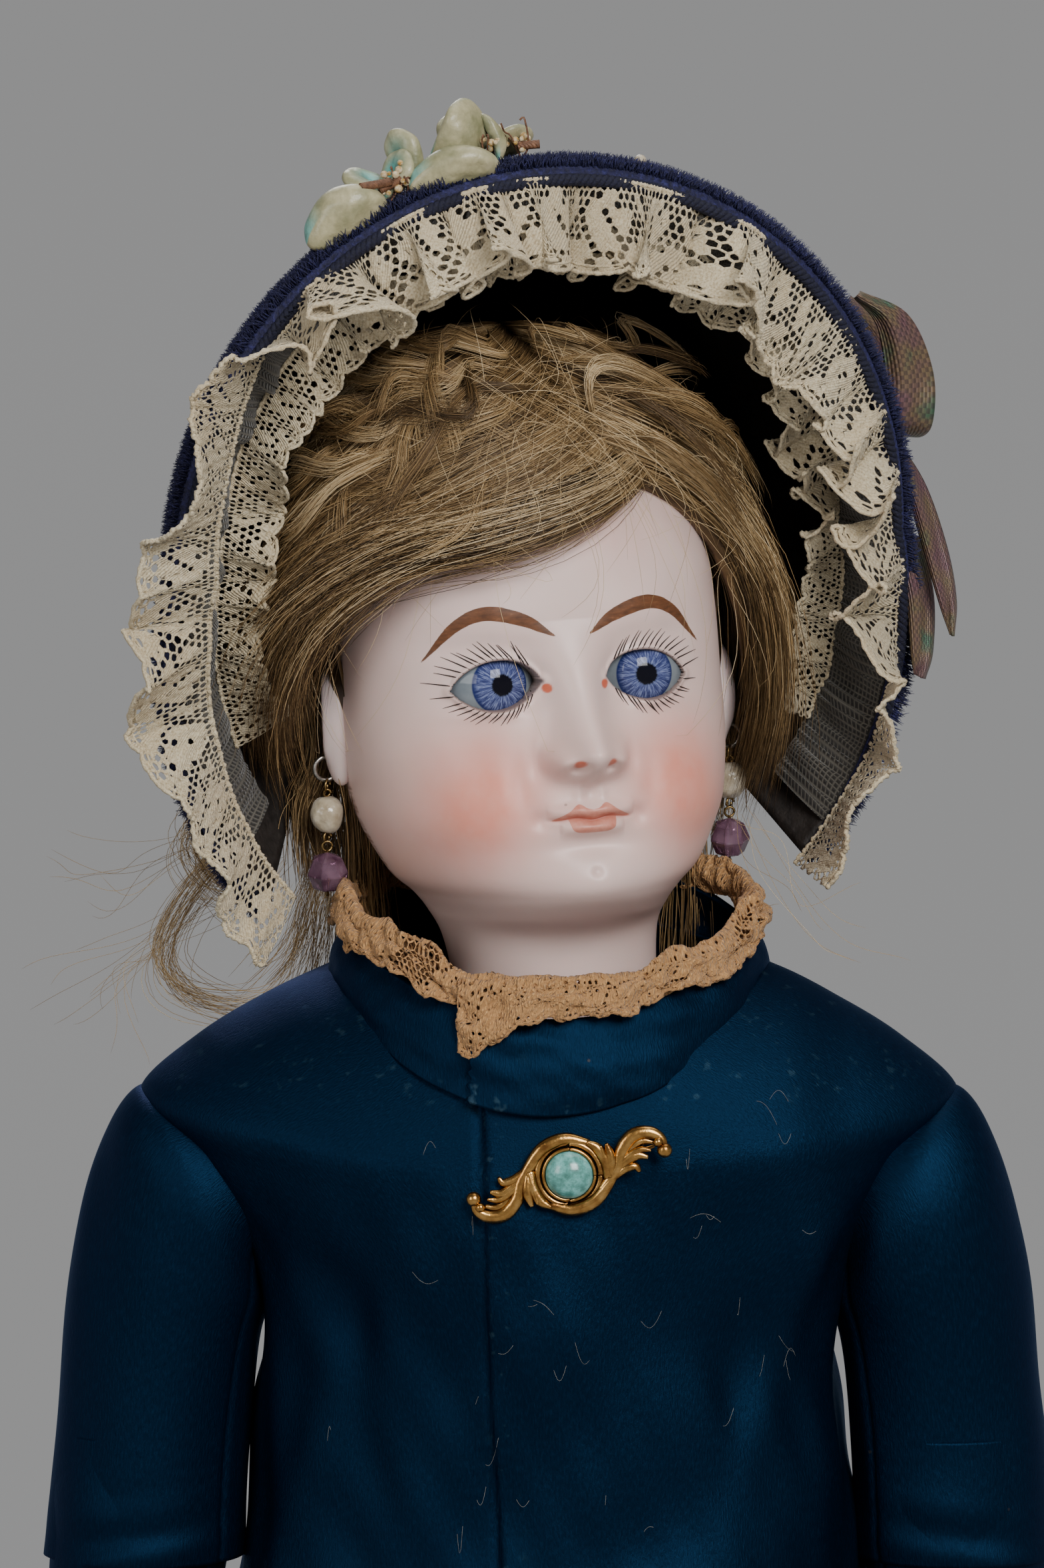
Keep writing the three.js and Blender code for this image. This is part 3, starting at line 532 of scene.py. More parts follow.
pushed = head_points + relief[..., None] * np.stack(
    [np.where(relief > -2.5, normal_x, 0.0), -np.ones_like(relief), np.zeros_like(relief)], -1
)
paint_x, paint_z = head_points[..., 0], head_points[..., 2]
is_front = step(4, -4, head_points[..., 1])
# Blush on the cheeks and jaw, plus painted warm shade over the top of the forehead and in a band under the
# chin.
cheek = (
    1.0 * bump(np.abs(paint_x), paint_z, 16.8, 50.0, 9.8, 10.2)
    + 0.42 * bump(np.abs(paint_x), paint_z, 21, 40.5, 8.5, 7.5)
)
cheek += 0.22 * bump(paint_x, paint_z, 0, 93, 17, 6) + 0.16 * bump(paint_x, paint_z, 0, 25.5, 16, 2.6)
pushed[..., 0] = lean(pushed[..., 0], pushed[..., 2])
head_world = head_to_world(pushed.reshape(-1, 3))

bisque = Paint(
    "painted_bisque", Roughness=0.42, Coat_Weight=0.05, Coat_Roughness=0.35, Subsurface_Weight=0.12,
    Subsurface_Scale=0.003, Subsurface_Radius=(1.0, 0.45, 0.3)
)
skin = bisque.ramp(bisque.noise(42.0), (0.3, (0.74, 0.535, 0.485)), (0.7, (0.78, 0.585, 0.535)))
mottle = bisque.ramp(bisque.noise(260.0), (0.35, 0.0), (0.65, 1.0))
# Blush, and the painted warm shade on the forehead and under the chin, mixed in the blush colour.
blush_and_shade_mix = bisque.ramp(bisque.times(bisque.read("cheek"), bisque.plus(bisque.times(mottle, 0.14), 0.9)),
                    (0.0, 0.0), (1.0, 1.0))
skin = bisque.mix(blush_and_shade_mix, skin, (0.80, 0.30, 0.22))
speck = bisque.ramp(bisque.cells(150.0), (0.0, 1.0), (0.035, 1.0), (0.05, 0.0))
rare = bisque.ramp(bisque.noise(90.0, detail=1.0), (0.60, 0.0), (0.66, 1.0))
skin = bisque.mix(bisque.times(bisque.times(speck, rare), 0.55), skin, (0.22, 0.15, 0.12))
streaks = bisque.noise(1500.0, bisque.stretched(bisque.read("flat", "Vector"), (0.35, 1.0, 1.0)), detail=4.0)
ragged = bisque.times(bisque.math("SUBTRACT", streaks, 0.5), 0.22)
brow_edge = bisque.ramp(bisque.plus(bisque.plus(bisque.read("brow"), ragged), 0.5), (0.47, 0.0), (0.56, 1.0))
brow_color = bisque.ramp(
    streaks, (0.3, (0.085, 0.030, 0.010)), (0.62, (0.17, 0.062, 0.022)), (0.85, (0.33, 0.16, 0.08))
)
skin = bisque.mix(brow_edge, skin, brow_color)
lip_edge = bisque.ramp(bisque.plus(bisque.plus(bisque.read("lip"), bisque.times(ragged, 0.35)), 0.5),
                       (0.46, 0.0), (0.56, 1.0))
lip_color = bisque.ramp(bisque.noise(900.0), (0.3, (0.56, 0.195, 0.135)), (0.75, (0.66, 0.29, 0.215)))
skin = bisque.mix(lip_edge, skin, lip_color)
skin = bisque.mix(bisque.read("parting"), skin, (0.42, 0.10, 0.06))
skin = bisque.mix(bisque.read("coral"), skin, (0.66, 0.14, 0.07))
skin = bisque.mix(bisque.read("shade"), skin, (0.045, 0.034, 0.028))
bisque.color(skin)
bisque.relief(bisque.noise(1800.0), 0.02, 0.6)

lip_depth = lip_gap(paint_x, paint_z)
parting = np.exp(-(((paint_z - lip_line(paint_x)) / 0.22) ** 2)) * step(7.6, 6.0, np.abs(paint_x)) * 0.85
coral = np.maximum(
    step(0.95, 0.7, np.hypot(np.abs(paint_x) - 5.1, paint_z - 66.6)),
    0.95 * step(1.1, 0.6, np.hypot((np.abs(paint_x) - 2.5) / 0.95, (paint_z - 53.9) / 0.8)),
)
shade = step(-0.75, -0.10, eye_depth) * (0.75 + 0.25 * step(0.0, 0.5, eye_depth))
head_shell = build(
    "head_bisque", head_world, [grid_faces(HEAD_ROWS, HEAD_COLS, wrap=True)], bisque.material, "head",
    cheek=np.clip(cheek * is_front, 0, 1).ravel(),
    brow=np.clip(brow_gap(paint_x, paint_z) * is_front, -0.5, 0.5).ravel(),
    lip=np.clip(np.where(is_front > 0.5, lip_depth, -1), -0.5, 0.5).ravel(),
    parting=(parting * is_front).ravel(), coral=(coral * is_front).ravel(), shade=(shade * is_front).ravel(),
    flat=flat_map(paint_x, paint_z),
)
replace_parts(head_shell, "head_shell")

# Ears with a rolled rim, a hollow and a lobe that carries the ring.
ear_parts = []
for name, side in SIDES:
    p, f = ball((0, 0, 0), 1.0, 44, 60)
    rim = np.hypot(p[:, 1], p[:, 2])
    outward = np.clip(p[:, 0] * side, 0, 1)
    swell = 1 + 0.55 * outward * hill(rim, 0.8, 0.15) * step(-0.75, -0.35, p[:, 2])
    hollow = 0.85 * outward * bump(p[:, 1], p[:, 2], 0, 0.12, 0.42, 0.5)
    taper = 1 - 0.32 * step(0.1, -1.0, p[:, 2])
    q = np.stack(
        [
            p[:, 0] * (3.4 * swell) - side * 3.0 * hollow, p[:, 1] * 6.3 * taper - 1.0 * p[:, 2] ** 2,
            p[:, 2] * 10.8
        ],
        1
    )
    q = turned(q, "Z", side * 0.22) + np.array([side * 33.6, 6.6, 60.2])
    ear_parts.append((head_to_world(q), f))
ear_paint = mottled(
    "ear_bisque", 60.0, [(0.3, (0.78, 0.60, 0.56)), (0.7, (0.83, 0.68, 0.65))], Roughness=0.32,
    Subsurface_Weight=0.12, Subsurface_Scale=0.003
)
ear_paint.relief(ear_paint.noise(1800.0), 0.02, 0.6)
build("ears", *join(ear_parts), ear_paint.material, "head")

head_tree = BVHTree.FromPolygons(
    [Vector(v) for v in pushed.reshape(-1, 3)], grid_faces(HEAD_ROWS, HEAD_COLS, wrap=True).tolist()
)


def on_skin(x, z, lift):
    """Point of the face at head height z and width x, lifted off the surface."""
    hit, normal, _, _ = head_tree.ray_cast(Vector((lean(x, z), -80, z)), Vector((0, 1, 0)))
    if normal.y > 0:
        normal = -normal
    return np.array(hit + normal * lift)


LASHES_PER_LID = 15


def lashes(side, n, upper):
    lines = []
    for i in range(n):
        t = -0.86 + 1.78 * i / (n - 1) + rng.normal(0, 0.015)
        arch = max(0.0, 1 - t * t)
        lid = EYE_Z - 0.5 * t + (4.35 * arch**0.72 if upper else -4.0 * arch**0.85)
        lean_out = math.radians((22 + 62 * (0.5 + 0.5 * t) ** 1.5) + rng.normal(0, 3))
        way = np.array([math.sin(lean_out), math.cos(lean_out) * (1 if upper else -1)])
        reach = (4.7 if upper else 3.5) * (1 + rng.normal(0, 0.08))
        x0 = EYE_X + EYE_HALF * t
        rise = np.linspace(0.45, reach, 6)
        bend = 0.10 * (rise / reach) ** 2 * reach
        xs, zs = x0 + way[0] * rise + bend * 0.4, lid + way[1] * rise - (bend if upper else -bend) * 0.3
        lines.append([on_skin(side * a, b, 0.035) for a, b in zip(xs, zs)])
    return lines


lash_lines = [
    line for _, side in SIDES for upper in (True, False) for line in lashes(side, LASHES_PER_LID, upper)
]
lash_paint = mottled(
    "lash_paint", 900.0, [(0.3, (0.012, 0.009, 0.008)), (0.75, (0.06, 0.045, 0.04))], Roughness=0.9,
    Specular_IOR_Level=0.1
)
lash_points, lash_faces = tubes(lash_lines, [0.07, 0.12, 0.11, 0.09, 0.065, 0.03], sides=6)
build("painted_lashes", head_to_world(lash_points), lash_faces, lash_paint.material, "head")

# Threaded glass eyes.
GLASS_RADIUS = 9.2
EYE_ROWS, EYE_COLS = 110, 120
eye_paint = Paint("threaded_glass", Roughness=0.06, Specular_IOR_Level=0.22)
spoke = eye_paint.read("spoke", "Vector")
radius = eye_paint.read("reach")
threads = eye_paint.noise(5.5, eye_paint.stretched(spoke, (3.4, 3.4, 0.10)), detail=3.0, rough=0.7)
iris = eye_paint.ramp(
    threads, (0.36, (0.026, 0.032, 0.105)), (0.50, (0.062, 0.078, 0.205)), (0.60, (0.20, 0.235, 0.41))
)
inner = eye_paint.ramp(eye_paint.times(radius, 0.2), (0.30, 0.85), (0.50, 0.0))
iris = eye_paint.mix(
    eye_paint.times(inner, eye_paint.ramp(threads, (0.45, 0.0), (0.55, 1.0))), iris, (0.16, 0.20, 0.37)
)
limbal = eye_paint.ramp(eye_paint.times(radius, 0.1), (0.40, 0.0), (0.485, 0.92))
iris = eye_paint.mix(limbal, iris, (0.012, 0.022, 0.11))
ragged_pupil = eye_paint.plus(radius, eye_paint.times(eye_paint.math("SUBTRACT", threads, 0.5), 0.9))
pupil = eye_paint.ramp(eye_paint.times(ragged_pupil, 0.1), (0.165, 1.0), (0.195, 0.0))
iris = eye_paint.mix(pupil, iris, (0.004, 0.004, 0.008))
white = eye_paint.ramp(eye_paint.noise(300.0), (0.3, (0.17, 0.20, 0.225)), (0.7, (0.25, 0.28, 0.30)))
# The white darkens towards its rim: painted shade of the lids over the glass.
white = eye_paint.mix(
    eye_paint.ramp(eye_paint.times(radius, 0.1), (0.60, 0.0), (0.95, 1.0)), white, (0.10, 0.12, 0.14)
)
edge = eye_paint.ramp(eye_paint.times(radius, 0.1), (0.495, 0.0), (0.52, 1.0))
eye_paint.color(eye_paint.mix(edge, iris, white))
for name, side in SIDES:
    t = np.linspace(0.0004, math.pi - 0.02, EYE_ROWS)[:, None]
    a = full_turn(EYE_COLS)
    swell = 1 + 0.075 * np.exp(-((t / 0.54) ** 4))
    p = (
        GLASS_RADIUS * swell[..., None]
        * np.stack([np.sin(t) * np.cos(a), -np.cos(t) + 0 * a, np.sin(t) * np.sin(a)], -1)
    )
    gaze = 0.085 if side < 0 else 0.0
    centre = np.array([lean(side * EYE_X, EYE_Z), -19.3, EYE_Z + 0.2])
    p = turned(p.reshape(-1, 3), "Z", gaze)
    arc = np.broadcast_to(GLASS_RADIUS * t, (EYE_ROWS, EYE_COLS)).ravel()
    bearing = np.broadcast_to(a, (EYE_ROWS, EYE_COLS)).ravel()
    eye = build(
        f"eye_{name}_glass", head_to_world(p + centre),
        [grid_faces(EYE_ROWS, EYE_COLS, wrap=True), np.arange(EYE_COLS)[::-1][None]], eye_paint.material,
        "head", spoke=np.stack([np.cos(bearing), np.sin(bearing), arc], 1), reach=arc
    )
    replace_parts(eye, f"eye_{name}")

# ---------------------------------------------------------------- hair
def skull(azimuth, polar, lift):
    """Head point over the skull, angles in degrees: azimuth from the face, polar from the crown."""
    a, t = np.radians(azimuth), np.radians(polar)
    deep = np.where(np.cos(a) > 0, 34.6, 39.6)
    tall = np.where(np.cos(t) > 0, 45.8, 51.0)
    x = (33.6 + lift) * np.sin(t) * np.sin(a)
    y = 4 - (deep + lift) * np.sin(t) * np.cos(a)
    z = 78 + (tall + lift) * np.cos(t)
    return np.stack([lean(x, z), y, z], -1)


hair_paint = Paint("mohair", Roughness=0.46, Specular_IOR_Level=0.4)
# This attribute holds each hair's own tone together with painted highlight and shade along it.
tone = hair_paint.read("tone")
streak = hair_paint.noise(1500.0, detail=2.0)
mohair = hair_paint.ramp(
    hair_paint.plus(hair_paint.times(tone, 0.85), hair_paint.times(streak, 0.15)),
    (0.05, (0.030, 0.016, 0.006)), (0.32, (0.165, 0.095, 0.038)), (0.60, (0.43, 0.28, 0.125)),
    (0.98, (0.78, 0.61, 0.37))
)
hair_paint.color(mohair)


def combed(upper, lower, share, points, lift, r, spread, drift=0.0):
    """Strands between an upper and a lower path over the skull, gathered in locks."""
    count = len(share)
    up, low = smooth_line(upper, points), smooth_line(lower, points)
    way = up[None] + (low - up)[None] * share[:, None, None]
    along = np.linspace(0, 1, points)[None]
    sway = (
        r.normal(0, spread, (count, 1)) * (0.4 + along)
        + r.normal(0, 1.0, (count, 1)) * np.sin(along * 6 + r.uniform(0, 6, (count, 1)))
    )
    azimuth = way[..., 0] + sway * 0.8
    polar = way[..., 1] + sway + drift + r.normal(0, 0.5, (count, 1))
    return skull(azimuth, polar, lift)


TRIANGLES_PER_PIECE = 190000


def strands(name, lines, tones, radius):
    """Three-sided hairs, in as many pieces as keep each one light."""
    k = lines.shape[1]
    taper = np.r_[0.7, np.ones(k - 3), 0.75, 0.25]
    parts = math.ceil(len(lines) * (k - 1) * 6 / TRIANGLES_PER_PIECE)
    for part, chosen in enumerate(np.array_split(np.arange(len(lines)), parts)):
        points, faces = tubes(lines[chosen], radius * taper, sides=3)
        tone = np.repeat(np.clip(tones[chosen], 0, 1), k * 3)
        along = np.tile(np.repeat(np.linspace(0, 1, k), 3), len(chosen))
        # Each hair is lighter along its middle and darker at its root and tip: painted highlight and painted
        # shade.
        piece = build(f"{name}_{part + 1}", points, faces, hair_paint.material, "head",
                      tone=tone * (0.74 + 0.36 * np.sin(along * math.pi)))


FAMILIES = {
    "left": ([(-1, 10), (-26, 30), (-54, 50), (-80, 72), (-97, 96), (-104, 118)],
             [(40, 59), (14, 68), (-14, 73.5), (-40, 76.5), (-63, 85), (-77, 100)], 7000),
    "right": ([(1, 10), (28, 30), (55, 50), (80, 72), (95, 98), (102, 122)],
              [(8, 50), (27, 60), (46, 68), (60, 80), (70, 97), (78, 124)], 5000),
    "back_left": ([(-4, 8), (-60, 20), (-110, 40), (-140, 70), (-150, 100), (-155, 122)],
                  [(-1, 12), (-40, 32), (-80, 58), (-98, 84), (-108, 108), (-112, 126)], 900),
    "back_right": ([(4, 8), (60, 20), (120, 40), (150, 70), (165, 100), (176, 122)],
                   [(1, 12), (40, 32), (80, 58), (98, 84), (110, 108), (116, 126)], 900),
}
for family, (upper, lower, count) in FAMILIES.items():
    r = np.random.default_rng(len(family) * 7)
    locks = 60 if count > 2000 else 26
    centre = (np.arange(locks) + r.uniform(-0.4, 0.4, locks)) / locks
    height = r.uniform(0.0, 3.2, locks)
    shade_of = r.normal(0, 0.20, locks)
    rise = (
        np.array([1.2, 3.4, 4.8, 5.8, 7.4, 9.6, 11.5]) if family != "left"
        else np.array([1.2, 3.6, 5.2, 6.8, 9.4, 12.4, 14.5])
    )
    wander = np.sin(np.linspace(0, 1, 12)[None] * r.uniform(6, 15, (locks, 1)) + r.uniform(0, 6, (locks, 1)))
    wander *= r.uniform(0.6, 3.0, (locks, 1)) * np.linspace(0.3, 1.2, 12)[None]
    rise_line = np.interp(np.linspace(0, 1, 12), np.linspace(0, 1, 7), rise)
    base = combed(
        upper, lower, centre * 0.94, 12, rise_line[None] * 0.60 + height[:, None] * 0.4, r, 0.6, wander
    )[:, :10]
    p, f = tubes(
        head_to_world(base), np.array([1.3, 2.1, 2.5, 2.7, 2.6, 2.4, 2.0, 1.5, 0.9, 0.2]), sides=8,
        flat=0.62
    )
    made = build(f"wig_locks_{family}", p, f, hair_paint.material, "head",
                 tone=np.repeat(np.clip(0.16 + shade_of * 0.7, 0.02, 1), 10 * 8))
    which = r.integers(0, locks, count)
    place = r.normal(0, 1, count)
    share = np.clip(centre[which] + place * 0.6 / locks, -0.03, 1.03)
    lift = (
        rise_line[None] * (0.80 + 0.12 * r.normal(size=(count, 1))) + height[which, None]
        - 0.5 * place[:, None] ** 2 + 0.6
    )
    lift += np.linspace(0, 1, 12)[None] ** 2.5 * r.exponential(1.8, (count, 1))
    lines = combed(upper, lower, share, 12, np.clip(lift, 0.8, None), r, 2.1, wander[which])
    cut = r.uniform(0.70, 1.0, count)
    t = np.linspace(0, 11, 12)[None] * cut[:, None]
    i = np.minimum(t.astype(int), 10)
    pick = np.take_along_axis(lines, i[..., None], 1)
    nxt = np.take_along_axis(lines, i[..., None] + 1, 1)
    lines = pick + (nxt - pick) * (t - i)[..., None]
    tones = 0.44 + shade_of[which] + r.normal(0, 0.20, count) - 0.10 * place**2
    strands(f"wig_strands_{family}", head_to_world(lines), tones, 0.060)

# Cap under the hair.
CAP_REACH, CAP_ROWS, CAP_COLS = 128, 60, 96
cap_polar = np.linspace(0.5, CAP_REACH, CAP_ROWS)[:, None]
cap_azimuth = np.linspace(-180, 180, CAP_COLS, endpoint=False)[None]
hairline = through(
    np.abs(cap_azimuth), [0, 25, 45, 60, 70, 78, 92, 180], [48, 53, 59, 70, 80, 92, 114, CAP_REACH]
)
cap_lift = 1.0 + 0.6 * np.sin(np.radians(cap_azimuth * 40))
cap_p = skull(cap_azimuth + 0 * cap_polar, cap_polar / CAP_REACH * hairline, cap_lift + 0 * cap_polar)
cap = thicken(
    build(
        "wig_cap", head_to_world(cap_p), grid_faces(CAP_ROWS, CAP_COLS, wrap=True), hair_paint.material,
        "head", tone=np.full(CAP_ROWS * CAP_COLS, 0.06)
    ),
    0.8, -1
)
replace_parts(cap, "wig")


def hanging(name, paths, count, spread, seed, radius=0.07, tone_at=0.5):
    """Loose locks that follow world paths, fanning out a little towards their ends."""
    r = np.random.default_rng(seed)
    lines = []
    for path in paths:
        line = smooth_line(path, 22)
        for _ in range(count):
            along = np.linspace(0, 1, 22)
            end = r.uniform(0.72, 1.0)
            drift = r.normal(0, spread, 3) * (0.4 + along[:, None] * 1.1)
            curl = (
                0.7 * spread * np.sin(along * r.uniform(7, 12) + r.uniform(0, 6))[:, None]
                * r.normal(0, 0.6, 3)
            )
            shifted = line + drift + curl
            t = along * end * 21
            lines.append(np.stack([np.interp(t, np.arange(22), shifted[:, k]) for k in range(3)], 1))
    lines = np.array(lines)
    strands(name, lines, tone_at + r.normal(0, 0.16, len(lines)), radius)


side_paths = []
for k, a in enumerate(np.linspace(-130, -99, 8)):
    top = skull(a, 84 + 3 * (k % 3), 6.0)
    low = skull(a, 112, 6.0)
    side_paths.append(
        [
            head_to_world(top), head_to_world(low), head_to_world(low) + [-1.0 - k * 0.2, 1, -11],
            head_to_world(low) + [0.5 - k * 0.3, 2, -22 - (k % 3) * 3]
        ]
    )
for k, a in enumerate(np.linspace(96, 126, 8)):
    top = skull(a, 84 + 3 * (k % 3), 5.0)
    low = skull(a, 112, 6.0)
    side_paths.append(
        [
            head_to_world(top), head_to_world(low), head_to_world(low) + [1.0, 1, -10],
            head_to_world(low) + [-0.5, 2, -19 - (k % 3) * 3]
        ]
    )
hanging("wig_side_locks", side_paths, 75, 1.25, 51, tone_at=0.44)

back_paths = []
for k, a in enumerate(np.linspace(-84, 84, 24) + 180):
    start = head_to_world(skull(a, 100, 4.5))
    low = head_to_world(skull(a, 122, 3.0))
    drop = np.array([low[0] * 0.96, max(low[1] + 2.0, 12.0), 374.0])
    ends = np.array(
        [low[0] * 0.98, max(low[1] + 5.0, 20.0) + 6 * abs(math.cos(math.radians(a))), 352.0 + 3 * (k % 4)]
    )
    back_paths.append([start, low, drop, ends])
hanging("wig_back_locks", back_paths, 80, 1.9, 52, radius=0.085, tone_at=0.42)

loose_paths = [
    [
        (-42, 16, 394), (-55, 14, 386), (-64, 12, 376), (-68, 10, 366), (-63, 9, 359.5), (-52, 9, 357.5),
        (-42, 11, 361)
    ],
    [(-50, 15, 398), (-59, 13, 393), (-63, 12, 386), (-58, 11, 379), (-50, 11, 378), (-47, 12, 384)],
    [(-38, 18, 390), (-42, 17, 376), (-45, 16, 366), (-52, 14, 358)],
    [(-36, 19, 392), (-39, 19, 378), (-41, 19, 366), (-44, 20, 352)]
]
hanging("wig_loose_locks", loose_paths, 60, 1.7, 53, radius=0.055, tone_at=0.66)
stray_paths = [
    [(-50, 12, 392), (-68, 8, 384), (-80, 6, 380), (-89, 5, 384)],
    [(-52, 12, 388), (-70, 8, 370), (-84, 6, 362), (-93, 4, 357)],
    [(-46, 12, 384), (-62, 8, 372), (-73, 6, 362), (-70, 5, 352)],
    [(34, 16, 392), (40, 14, 380), (47, 10, 372), (56, 8, 369)],
]
hanging("wig_strays_low", stray_paths, 8, 3.0, 54, radius=0.045, tone_at=0.6)

# Wavy locks that cross the combed hair.
r = np.random.default_rng(78)
crossing = []
for _ in range(46):
    side = -1 if r.random() < 0.62 else 1
    a0, t0 = r.uniform(0, 70) * side, r.uniform(22, 58)
    turn_by, drop_by = r.normal(34, 12) * side, r.normal(16, 9)
    along = np.linspace(0, 1, 12)
    bend = r.normal(0, 5) * np.sin(along * math.pi) + r.normal(0, 2.4) * np.sin(along * r.uniform(7, 11))
    lift = 5.0 + 5.5 * along * (np.abs(a0) / 70 + 0.5) + 2.2 * np.sin(along * math.pi) + r.uniform(0, 2.2)
    for _ in range(34):
        fan = r.normal(0, 0.9, 2)[:, None] * (0.5 + along * 1.3)
        limit = 58 + 0.42 * np.abs(a0 + turn_by * along)
        path = skull(
            a0 + turn_by * along + bend + fan[0],
            np.minimum(t0 + drop_by * along + 0.7 * bend + fan[1], limit), lift + r.normal(0, 0.35)
        )
        crossing.append(path)
shade_of = np.repeat(r.normal(0.52, 0.17, 46), 34)
strands(
    "wig_strands_crossing", head_to_world(np.array(crossing)), shade_of + r.normal(0, 0.12, len(crossing)),
    0.055
)

# Flyaway hairs over the fringe and the temples.
r = np.random.default_rng(77)
fly = []
for _ in range(420):
    side = -1 if r.random() < 0.6 else 1
    a0 = r.uniform(-20, 95) * side
    t0 = r.uniform(36, 50 + 46 * min(1.0, abs(a0) / 70))
    turn_by, drop_by = r.normal(18, 26) * side, r.normal(12, 18)
    along = np.linspace(0, 1, 12)
    arc = r.normal(0, 7) * np.sin(along * math.pi)
    path = skull(
        a0 + turn_by * along + arc, np.minimum(t0 + drop_by * along + 0.6 * arc, 112),
        6.0 + r.uniform(0.5, 7) * np.sin(along * r.uniform(1.5, 3)) ** 2
    )
    fly.append(path)
strands("wig_flyaways", head_to_world(np.array(fly)), 0.75 + r.normal(0, 0.12, len(fly)), 0.042)

# ---------------------------------------------------------------- bonnet
BRIM_Y, BRIM_Z = -12.0, 88.0
BRIM_LEAN = math.radians(16.0)
BRIM_END = 139.0


def brim(angle, radius, depth):
    """World point on the bonnet, at degrees from its top (negative to the doll's right) and a depth."""
    a = np.radians(angle)
    x, down = radius * np.sin(a), -radius * np.cos(a)
    drop = 1 + 0.233 * np.clip(-np.cos(a), 0, None) * np.clip(1 - depth / 50, 0, 1)
    s, c = math.sin(BRIM_LEAN), math.cos(BRIM_LEAN)
    return head_to_world(
        np.stack(
            [0.94 * drop * x, BRIM_Y + s * drop * down + c * depth, BRIM_Z - c * drop * down + s * depth],
            -1
        )
    )


BRIM_FORWARD = brim(0.0, 60.0, -1.0) - brim(0.0, 60.0, 0.0)
BRIM_FORWARD /= np.linalg.norm(BRIM_FORWARD)


def brim_frame(angle, radius, depth):
    """Point, tangent and outward directions on the brim."""
    at = brim(angle, radius, depth)
    out = brim(angle, radius + 1.0, depth) - at
    out /= np.linalg.norm(out, axis=-1, keepdims=True)
    tangent = np.cross(out, BRIM_FORWARD)
    return at, tangent, out


VELVET = [
    (66.5, -0.8), (68.9, 0.6), (68.2, 4), (64.5, 12), (59.5, 20), (54, 28), (51, 36), (50.5, 44), (49, 52),
    (43, 60), (33, 66), (20, 69), (8, 70), (0.5, 70)
]
VELVET_ROWS, VELVET_COLS = 130, 330


def bonnet_shell(profile, rows, cols, shrink=0.0, end=BRIM_END, wrinkle=1.0):
    line = smooth_line(profile, 600)
    line = evenly(line, run_along(line), rows)
    r, h = line[:, :1] - shrink * step(0, 20, line[:, :1]), line[:, 1:]
    reach = end + (180 - end) * step(30, 62, h)
    angle = np.linspace(-1, 1, cols)[None] * reach
    fold = np.stack(
        [np.broadcast_to(np.radians(angle) * 50, (rows, cols)), np.broadcast_to(h, (rows, cols))], -1
    )
    gather = step(26, 44, h) * (0.9 * waves(fold * [1, 0.25], 7.0, 3) + 1.6 * waves(fold * [1, 0.4], 19.0, 4))
    soft = 0.8 * waves(fold, 40.0, 5) * step(0, 12, h)
    r = r + wrinkle * (gather * step(0, 25, r) + soft) - 1.2 * step(24, 34, h) * step(44, 34, h)
    return brim(angle, r, h + 0 * angle)


velvet_points = bonnet_shell(VELVET, VELVET_ROWS, VELVET_COLS)
velvet = Paint(
    "velvet", Roughness=0.75, Sheen_Weight=0.15, Sheen_Roughness=0.45, Sheen_Tint=(0.20, 0.22, 0.75, 1)
)
nap = velvet.noise(1300.0, detail=4.0)
patch = velvet.noise(60.0)
dye = velvet.ramp(
    nap, (0.34, (0.003, 0.003, 0.014)), (0.55, (0.012, 0.012, 0.060)), (0.75, (0.035, 0.036, 0.16))
)
velvet.color(velvet.mix(velvet.ramp(patch, (0.35, 0.0), (0.7, 0.6)), dye, (0.008, 0.008, 0.040)))
velvet.relief(nap, 0.7)
bonnet = thicken(
    build("bonnet_velvet", velvet_points, grid_faces(VELVET_ROWS, VELVET_COLS), velvet.material, "head"),
    1.6, 0
)
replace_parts(bonnet, "bonnet")

# Pile: short tufts in rows, upright at the brim and laid over further back.
def pile(name, count, low, high, seed, long):
    r = np.random.default_rng(seed)
    row = r.integers(0, 400, count) / 400.0
    h = low + (high - low) * r.random(count) ** 1.3
    bunch = r.normal(0, 0.25, count)
    angle = (r.random(count) * 2 - 1) * (BRIM_END + (180 - BRIM_END) * step(30, 62, h)) * 0.995
    angle = np.round(angle / 0.85) * 0.85 + bunch * 0.9
    line = smooth_line(VELVET[1:], 500)
    radius = np.interp(h, line[:, 1], line[:, 0])
    at, tangent, out = brim_frame(angle, radius + 0.4, h)
    length = long * (0.75 + 0.5 * r.random(count))[:, None]
    lean_to = 0.35 * r.normal(size=(count, 1)) * tangent - (0.1 + 0.25 * row[:, None]) * -BRIM_FORWARD
    tip = at + length * (out + lean_to)
    mid = (at + tip) / 2 + 0.1 * out
    return build(
        name, *tubes(np.stack([at, mid, tip], 1), [0.15, 0.13, 0.03], sides=3), velvet.material, "head"
    )


for made in (
    pile("velvet_pile_front", 26000, 0.0, 13.0, 31, 2.3),
    pile("velvet_pile_back", 26000, 11.0, 66.0, 32, 1.6)
):
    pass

# Braided edge along the brim.
edge_angle = np.linspace(-BRIM_END, BRIM_END, 1500)
cord_lines = []
for k in range(3):
    phase = np.radians(edge_angle) * 68 / 1.7 * math.pi + k * 2 * math.pi / 3
    at, tangent, out = brim_frame(edge_angle, 67.6 + 0.55 * np.cos(phase), -1.5)
    cord_lines.append(at + 0.55 * np.sin(phase)[:, None] * -BRIM_FORWARD)
braid = mottled(
    "braid", 2200.0, [(0.3, (0.002, 0.002, 0.009)), (0.72, (0.007, 0.008, 0.032))], bump=(2600.0, 0.3),
    Roughness=0.8
)
build("brim_braid", *tubes(cord_lines, 0.62, sides=6), braid.material, "head")

